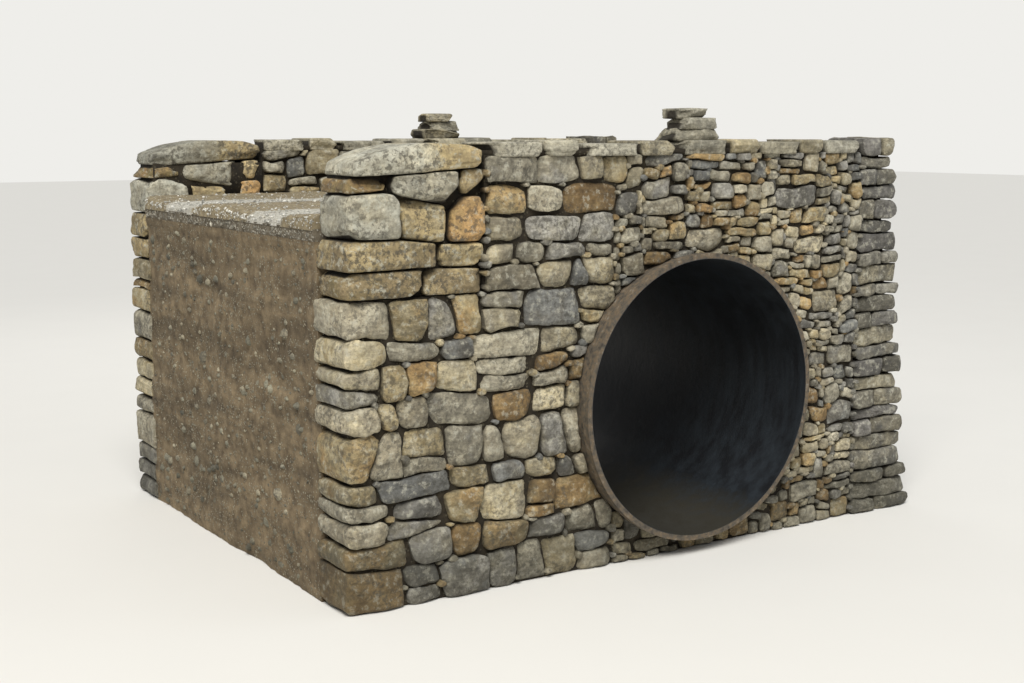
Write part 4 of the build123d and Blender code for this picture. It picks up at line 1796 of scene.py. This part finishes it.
@dataclass
class RightEnd:
    """Ragged stack of darker flat stones that ends the wall on the right, wider at its foot."""

    side: Side
    bridge: Bridge
    seed: int
    arris: float = 0.024
    inset: float = 0.1
    nose: float = 0.12
    ragged: float = 0.022
    dressing: Dressing = Dressing(bulge=0.014, proud=0.006, lump=0.01, facets=6)

    def __post_init__(self) -> None:
        """Reads the stack's own sizes."""
        node = self.side.node("right_end")
        self.low, self.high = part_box(node)
        points, _ = node_mesh(node)
        self.top_x = float(points[points[:, 2] > self.high.z - self.nose, 0].max())

    def edge(self, level: float) -> float:
        """X of the battered side at a height."""
        return self.high.x + (self.top_x - self.high.x) * level / self.high.z

    def warp(self, points: np.ndarray) -> np.ndarray:
        """Bends the courses a little.

        Args:
            points: places in the face, X and Z.

        Returns:
            The moved places.
        """
        flat = np.column_stack([points[:, 0], np.full(len(points), self.seed * 3.7), points[:, 1]])
        held = smoothstep(points[:, 1], 0.0, 0.08) * smoothstep(self.high.z - points[:, 1], 0.0, 0.08)
        out = points.copy()
        out[:, 1] += held * 0.013 * smooth_noise(flat, 190.0, self.seed)
        chipped = 0.012 * (1 + smooth_noise(flat, 70.0, self.seed + 1))
        out[:, 0] -= chipped * smoothstep(points[:, 0] - self.low.x, 0.1, 0.3)
        return out

    def build(self) -> None:
        """Stacks the stones round a packed heart."""
        rng, sign, b = random.Random(self.seed), self.side.sign, self.bridge
        heap = Heap()
        node = self.side.node("right_end")
        face = Face(sign * b.face, sign, self.warp, self.seed)
        for stone in carved_stones(node, sign, b.face, self.arris):
            ring = self.warp(worn(stone.ring, rng, self.dressing.passes))
            beside_wall = smoothstep(self.low.x + 0.09 - ring[:, 0], 0.0, 0.09)
            ring[:, 0] -= self.ragged * rng.uniform(-0.3, 1.0) * beside_wall
            (_, low), (right, top) = ring.min(axis=0), ring.max(axis=0)
            end = right if right > self.edge((low + top) / 2) - self.nose else None
            over = top if top > self.high.z - self.arris else None
            reach, hue = b.back - b.face - 0.006, rng.random()
            face.stone(heap, ring, self.dressing, rng, reach, hue, stone.set_back, through=True, end=end, top=over)
        level = 0.06
        while level < self.high.z - 0.1:
            face.pinning(heap, self.low.x + rng.uniform(-0.012, 0.004), level, rng)
            level += rng.uniform(0.04, 0.15)
        near, far = b.face + self.inset, b.back - self.inset
        left, top = self.low.x + self.inset / 2, self.high.z - self.inset
        corners = [
            (x, sign * y, z)
            for foot, head in ((left, left), (self.high.x - self.inset, self.top_x - self.inset))
            for y in (near, far)
            for x, z in ((foot, 0.0), (head, top))
        ]
        packed_core(heap, np.array(corners))
        finish_piece(heap, node, (END_STONE, JOINT_SOIL), "end_stone")


@dataclass
class EndBlocks:
    """Big worn sandstone blocks that end the parapet on the left."""

    side: Side
    bridge: Bridge
    seed: int
    wear: Weathering = Weathering()
    end_depth: float = 0.1
    back_depth: float = 0.04

    # Place of each block in the finish's hues, and tones that aren't left to chance
    HUES = {
        "lower_end_blocks": (0.72, 0.62, 0.6, 0.5),
        "upper_end_blocks": (0.54, 0.98, 0.6, 0.9),
        "square_block": (0.1,),
        "grey_block": (0.16,),
        "end_cap_slab": (0.08,),
    }
    TONES = {"square_block": 0.96, "grey_block": 0.34}
    # The cap slab turns from grey to ochre between these places along the wall
    CAP_TURNS_OCHRE = (-2.36, -2.02)

    def build(self) -> None:
        """Wears each block, and packs the joints between them."""
        rng, b = random.Random(self.seed), self.bridge
        for name, hues in self.HUES.items():
            heap = Heap()
            for (points, faces), hue in zip(solids_of(self.side.node(name)), hues):
                worn, quads, normals = weather(points, faces, self.wear, rng)
                kind = np.full(len(worn), hue)
                open_sides = "-x" if points[:, 0].min() < b.left + self.end_depth else ""
                if name == "end_cap_slab":
                    ragged = worn[:, 0] + 0.06 * smooth_noise(worn, 90.0, self.seed)
                    kind += 0.46 * smoothstep(ragged, *self.CAP_TURNS_OCHRE)
                    open_sides += "+z"
                tone = self.TONES.get(name, rng.random())
                heap.add(worn, quads, kind=kind, tone=tone, recess=hidden_share(worn, normals, open_sides))
            if name == "lower_end_blocks":
                self.packing(heap)
            finish_piece(heap, self.side.node(name), (BLOCK, JOINT_SOIL), "block_stone", smooth_angle=180.0)

    def packing(self, heap: Heap) -> None:
        """Adds the soil and spalls deep in the joints.

        Args:
            heap: the mesh of the lowest blocks.
        """
        b = self.bridge
        along = (b.left + self.end_depth, b.terminal_right)
        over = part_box(self.side.node("end_cap_slab"))[0].z + 0.02
        for up, back in (((b.terminal_bed, b.lane), b.back), ((b.lane, over), b.back - self.back_depth)):
            across = sorted((self.side.sign * (b.face + self.end_depth), self.side.sign * back))
            packed_core(heap, np.array(list(product(along, across, up))))


@dataclass
class CapCourse:
    """Flat cap stones on the parapet, and the loose stack over the pipe."""

    side: Side
    bridge: Bridge
    seed: int
    wear: Weathering = Weathering(
        rounding=3, swell=0.014, lump=0.006, chip_depth=0.03, strata=0.005, strata_mm=22.0, bed_wear=0.2
    )
    seat: float = 0.016
    inset: float = 0.06
    bedding: float = 0.03

    def build(self) -> None:
        """Wears each cap stone, bedded down on what lies under it."""
        rng, b = random.Random(self.seed), self.bridge
        for name in ("cap_stones", "raised_stones"):
            heap = Heap()
            for points, faces in solids_of(self.side.node(name)):
                points[points[:, 2] < points[:, 2].mean(), 2] -= self.seat
                worn, quads, normals = weather(points, faces, self.wear, rng)
                hidden = hidden_share(worn, normals, "+z")
                heap.add(worn, quads, kind=rng.random(), tone=rng.random(), recess=hidden)
            if name == "cap_stones":
                low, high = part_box(self.side.node(name))
                along = (low.x + 0.02, high.x - self.inset)
                across = sorted((self.side.sign * (b.face + self.inset), self.side.sign * (b.back - self.inset)))
                up = (b.parapet_top - 0.01, b.parapet_top + self.bedding)
                packed_core(heap, np.array(list(product(along, across, up))))
            finish_piece(heap, self.side.node(name), (CAP, JOINT_SOIL), "cap_stone", smooth_angle=180.0)


@dataclass(frozen=True)
class Grade:
    """One size of stone in packed ground: how many to the square metre, and their least and greatest width."""

    number: float
    small: float
    large: float
    divisions: int
    rough: float


@dataclass
class EarthFill:
    """Packed fill between the headwalls, or the lane's bed, cut off plainly at the bridge's ends."""

    node: str
    seed: int
    ends: tuple[int, ...]
    finishes: tuple[Finish, Finish]
    record_slot: str
    core_recess: float = 0.09
    depth: float = 0.03
    step: float = 0.03
    lap: float = 0.024
    grades: tuple[Grade, ...] = (
        Grade(7.0, 0.1, 0.2, 3, 0.05),
        Grade(26.0, 0.045, 0.1, 2, 0.12),
        Grade(130.0, 0.012, 0.045, 1, 0.2),
    )

    def build(self) -> None:
        """Makes the rough cut faces with the stones that stick out of them."""
        low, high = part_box(self.node)
        points, faces = node_mesh(self.node)
        heap = Heap()
        core = points.copy()
        for inward in self.ends:
            end = low.x if inward > 0 else high.x
            core[np.abs(points[:, 0] - end) < MM, 0] += inward * self.core_recess
        heap.add(core, faces)
        for inward in self.ends:
            self.cut_face(heap, low, high, inward)
        finish_piece(heap, self.node, self.finishes, self.record_slot, smooth_angle=50.0)

    def cut_face(self, heap: Heap, low: Vector, high: Vector, inward: int) -> None:
        """Adds one rough end.

        Args:
            heap: where it goes.
            low: lowest corner of the node.
            high: highest corner of the node.
            inward: 1 for the left end, -1 for the right one.
        """
        end = low.x if inward > 0 else high.x

        def cut(across: np.ndarray, up: np.ndarray) -> np.ndarray:
            """Rough surface of the cut: long lifts one over the other, wide hollows and small crumbs.

            Args:
                across: places along Y.
                up: heights.

            Returns:
                The points of the surface.
            """
            flat = np.column_stack([np.full(len(across), end), across, up])
            lifts = smooth_noise(flat * (1.0, 0.28, 1.0), 125.0, 2)
            deep = 1 + 0.6 * smooth_noise(flat, 520.0, 1) + 0.65 * lifts + 0.25 * smooth_noise(flat, 60.0, 3)
            deep *= 1 - 0.6 * smoothstep(up, high.z - 0.14, high.z)
            flat[:, 0] += inward * self.depth * np.maximum(deep, 0.05)
            return flat

        across = np.linspace(low.y - self.lap, high.y + self.lap, round((high.y - low.y) / self.step))
        up = np.linspace(low.z, high.z, max(4, round((high.z - low.z) / self.step)))
        grid_panel(heap, across, up, cut, np.array([inward * 0.1, 0.0, 0.0]))
        draw = np.random.default_rng(self.seed + inward)
        area = (high.y - low.y) * (high.z - low.z)
        for grade in self.grades:
            number = round(grade.number * area)
            sizes = grade.small * (grade.large / grade.small) ** (draw.random(number) ** 1.3)
            margin = min(0.05, (high.z - low.z) / 4)
            y = draw.uniform(low.y + margin, high.y - margin, number)
            z = draw.uniform(low.z + margin, high.z - margin, number)
            centres = cut(y, z)
            sunk = np.maximum(inward * (centres[:, 0] - end) + sizes * 0.22, sizes * 0.66)
            centres[:, 0] = end + inward * sunk
            scatter(heap, centres, sizes, grade.divisions, grade.rough, 0.8, self.seed + grade.divisions)


@dataclass
class LaneStrip:
    """One strip of the lane: a rough surface with loose stones on it, thickest in the wheel tracks."""

    node: str
    finish: LaneFinish
    record_slot: str
    seed: int
    step: float = 0.024
    rough: float = 0.009
    crumble: float = 0.03
    stones_per_m2: float = 560.0
    end_stones_per_metre: float = 90.0
    small: float = 0.011
    large: float = 0.036
    overlap: float = 0.01
    margin: float = 0.01

    def gravelly(self, points: np.ndarray) -> np.ndarray:
        """Share of the ground that gravel covers.

        Args:
            points: places on the lane.

        Returns:
            The share at each place.
        """
        away = np.abs(np.abs(points[:, 1]) - self.finish.track)
        ragged = away + self.finish.ragged * (0.5 + 0.5 * smooth_noise(points, 140.0, 4))
        edge = self.finish.half_width
        return 1 - 0.86 * smoothstep(ragged, edge - 0.02, edge + self.finish.ragged)

    def __post_init__(self) -> None:
        """Reads the strip's box and its cross-section's top line."""
        self.low, self.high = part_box(self.node)
        points, _ = node_mesh(self.node)
        ends = points[(points[:, 0] < self.low.x + MM) & (points[:, 2] > self.low.z + MM)]
        self.section = ends[np.argsort(ends[:, 1])]
        self.ends = ((self.low.x, 1), (self.high.x, -1))

    def top(self, across: np.ndarray, along: np.ndarray) -> np.ndarray:
        """Lane's surface, which dips a little, and crumbles and turns down at its ends.

        Args:
            across: places along Y.
            along: places along X, which may lie past the ends.

        Returns:
            The points of the surface.
        """
        low, high = self.low, self.high
        level = np.interp(across, self.section[:, 1], self.section[:, 2])
        beyond = np.maximum(low.x - along, 0) + np.maximum(along - high.x, 0)
        flat = np.column_stack([np.clip(along, low.x, high.x), across, level])
        dip = 0.5 + 0.35 * smooth_noise(flat, 260.0, 5) + 0.25 * smooth_noise(flat, 60.0, 6)
        flat[:, 2] -= self.rough * np.clip(dip, 0, 1)
        for end, inward in self.ends:
            near = 1 - smoothstep(inward * (along - end), 0.0, 0.09)
            loss = self.crumble * near * (0.75 + 0.5 * smooth_noise(flat, 55.0, 8))
            flat[:, 2] -= loss
            flat[:, 0] += inward * 0.6 * loss * (1 - 0.75 * np.minimum(1, beyond / (high.z - low.z)))
        flat[:, 2] = np.maximum(flat[:, 2] - beyond, low.z - self.overlap)
        return flat

    def build(self) -> None:
        """Makes the surface and scatters the stones."""
        heap = Heap()
        self.surface(heap)
        self.loose_stones(heap)
        finish_piece(heap, self.node, (self.finish, GRAVEL), self.record_slot, smooth_angle=30.0)

    def surface(self, heap: Heap) -> None:
        """Adds the rough top, with the turned-down ends.

        Args:
            heap: where it goes.
        """
        low, high = self.low, self.high
        across = np.linspace(low.y, high.y, max(3, round((high.y - low.y) / self.step)))
        thickness = high.z - low.z + self.overlap
        past = np.arange(self.step / 2, thickness + self.step / 2, self.step / 2)
        along = np.linspace(low.x, high.x, round((high.x - low.x) / self.step))
        along = np.concatenate([low.x - past[::-1], along, high.x + past])
        grid_panel(heap, across, along, self.top, np.array([0.0, 0.0, -thickness]))
        heap.points[-1][:, 2] = np.maximum(heap.points[-1][:, 2], low.z - self.overlap)

    def loose_stones(self, heap: Heap) -> None:
        """Scatters stones on the top, and presses some into both ends.

        Args:
            heap: where they go.
        """
        low, high = self.low, self.high
        draw = np.random.default_rng(self.seed)
        number = round((high.x - low.x) * (high.y - low.y) * self.stones_per_m2)
        y = draw.uniform(low.y + self.margin, high.y - self.margin, number)
        centres = self.top(y, draw.uniform(low.x + 0.02, high.x - 0.02, number))
        centres = centres[draw.random(number) < self.gravelly(centres)]
        sizes = self.small * (self.large / self.small) ** (draw.random(len(centres)) ** 1.8)
        centres[:, 2] += sizes * 0.12
        scatter(heap, centres, sizes, 1, 0.22, 0.75, self.seed)
        for end, inward in self.ends:
            number = round((high.y - low.y) * self.end_stones_per_metre)
            y = draw.uniform(low.y + self.margin, high.y - self.margin, number)
            place = self.top(y, np.full(number, end))
            place[:, 2] = draw.uniform(low.z + self.margin, place[:, 2])
            sizes = draw.uniform(self.small, self.large, number)
            place[:, 0] = np.maximum(inward * place[:, 0], inward * end + 0.62 * sizes) * inward
            scatter(heap, place, sizes, 1, 0.2, 0.8, self.seed + 1 + inward)


@dataclass
class Barrel:
    """Steel pipe with its end rings, kept as drawn and coated."""

    bridge: Bridge

    def build(self) -> None:
        """Gives the pipe and rings their surface."""
        finish = SteelPipeFinish("bitumen_coated_steel", self.bridge.axis, self.bridge.bore_radius)
        for node in ("culvert_pipe", "front_pipe_ring", "rear_pipe_ring"):
            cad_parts[node].data.materials[0] = finish.material()


@dataclass
class Studio:
    """Pale floor, soft lamps, pale world and the camera."""

    low: Vector
    high: Vector
    camera_place: tuple[float, float, float] = (-6.68, -9.73, 3.04)
    camera_aim: tuple[float, float, float] = (-0.62, -0.55, 1.42)
    lens: float = 50.0
    sun_place: tuple[float, float, float] = (-4.0, -6.0, 10.0)
    sun_strength: float = 2.7
    sun_spread: float = 35.0
    floor_reach: float = 80.0
    floor_gap: float = 0.002

    # Name, place, width in metres, watts and colour
    LAMPS = (
        ("key_lamp", (-7.5, -8.5, 10.0), 3.6, 520.0, "fff9ee"),
        ("fill_lamp", (9.0, -8.0, 6.0), 7.0, 120.0, "eef4ff"),
        ("back_lamp", (2.0, 11.0, 9.0), 7.0, 160.0, "fbfaf5"),
    )

    def build(self) -> None:
        """Sets up the studio."""
        self.floor()
        self.world()
        for name, place, size, power, colour in self.LAMPS:
            data = bpy.data.lights.new(name, "AREA")
            data.shape = "DISK"
            data.size = size
            data.energy = power
            data.color = linear(colour)[:3]
            self.aimed(bpy.data.objects.new(name, data), place, (self.low + self.high) / 2)
        sun = bpy.data.lights.new("ceiling_light", "SUN")
        sun.energy = self.sun_strength
        sun.angle = math.radians(self.sun_spread)
        self.aimed(bpy.data.objects.new("ceiling_light", sun), self.sun_place, Vector((0, 0, 0)))
        data = bpy.data.cameras.new("picture_camera")
        data.lens = self.lens
        data.sensor_width = 36.0
        data.clip_end = 200.0
        thing = bpy.data.objects.new("picture_camera", data)
        self.aimed(thing, self.camera_place, Vector(self.camera_aim))
        bpy.context.scene.camera = thing
        bpy.context.scene.view_settings.view_transform = "Standard"

    def floor(self) -> None:
        """Adds the floor, just under the part."""
        reach = self.floor_reach
        corners = [(-reach, -reach, 0), (reach, -reach, 0), (reach, reach, 0), (-reach, reach, 0)]
        mesh = bpy.data.meshes.new("studio_floor")
        mesh.from_pydata(corners, [], [(0, 1, 2, 3)])
        mesh.materials.append(StudioFinish().material())
        floor = bpy.data.objects.new("studio_floor", mesh)
        floor.location.z = self.low.z - self.floor_gap
        bpy.context.scene.collection.objects.link(floor)

    @staticmethod
    def world() -> None:
        """Sets the soft light all round, and the pale backdrop."""
        world = bpy.data.worlds.new("studio_sky")
        bpy.context.scene.world = world
        world.use_nodes = True
        world.node_tree.nodes.clear()
        add = partial(add_node, world.node_tree)
        seen = add("LightPath").outputs["Is Camera Ray"]
        sky = add("Background", linear("f4f5f6"), 0.38)
        card = add("Background", linear("efeeea"), 1.0)
        add("OutputWorld", add("MixShader", seen, sky, card))

    @staticmethod
    def aimed(thing: bpy.types.Object, place: tuple[float, float, float], at: Vector) -> None:
        """Puts a lamp or camera in the scene, aimed at a point.

        Args:
            thing: the lamp or camera.
            place: where it stands.
            at: the point it is aimed at.
        """
        thing.location = place
        thing.rotation_mode = "QUATERNION"
        thing.rotation_quaternion = (at - Vector(place)).to_track_quat("-Z", "Y")
        bpy.context.scene.collection.objects.link(thing)


# Crushed stone in the lane's bed, coarse and fine
BASE_COURSE = (Grade(330.0, 0.035, 0.075, 2, 0.16), Grade(900.0, 0.014, 0.035, 1, 0.22))
LANE_STRIPS = ("front_wheel_track", "rear_wheel_track", "centre_strip", "front_verge", "rear_verge")
# First seed of each side, which goes up by a step from one sub-assembly to the next
SEEDS = {Side.FRONT: 11, Side.REAR: 229}
SEED_STEP = 50


def main() -> None:
    """Builds every sub-assembly in order."""
    logging.basicConfig(level=logging.INFO, format="%(message)s")
    bridge = Bridge()
    Studio(*CAD_BOX).build()
    Barrel(bridge).build()
    for side, seed in SEEDS.items():
        for number, part in enumerate((Headwall, RightEnd, EndBlocks, CapCourse)):
            part(side, bridge, seed + number * SEED_STEP).build()
    EarthFill("left_fill", 5, (1,), (FILL, COBBLE), "packed_fill").build()
    EarthFill("right_fill", 6, (-1,), (FILL, COBBLE), "packed_fill").build()
    bed = (LANE_BED, BASE_STONE)
    EarthFill("lane_bed", 7, (1, -1), bed, "lane_gravel", depth=0.022, step=0.02, grades=BASE_COURSE).build()
    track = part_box("rear_wheel_track")
    lane = LaneFinish("gravel_lane", (track[0].y + track[1].y) / 2, (track[1].y - track[0].y) / 2)
    for seed, node in enumerate(LANE_STRIPS, 70):
        LaneStrip(node, lane, "lane_gravel" if node.endswith("track") else "lane_earth", seed).build()
    for node in ("crown_fill", "pipe_bedding"):
        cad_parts[node].data.materials[0] = FILL.material()


if __name__ == "__main__":
    main()
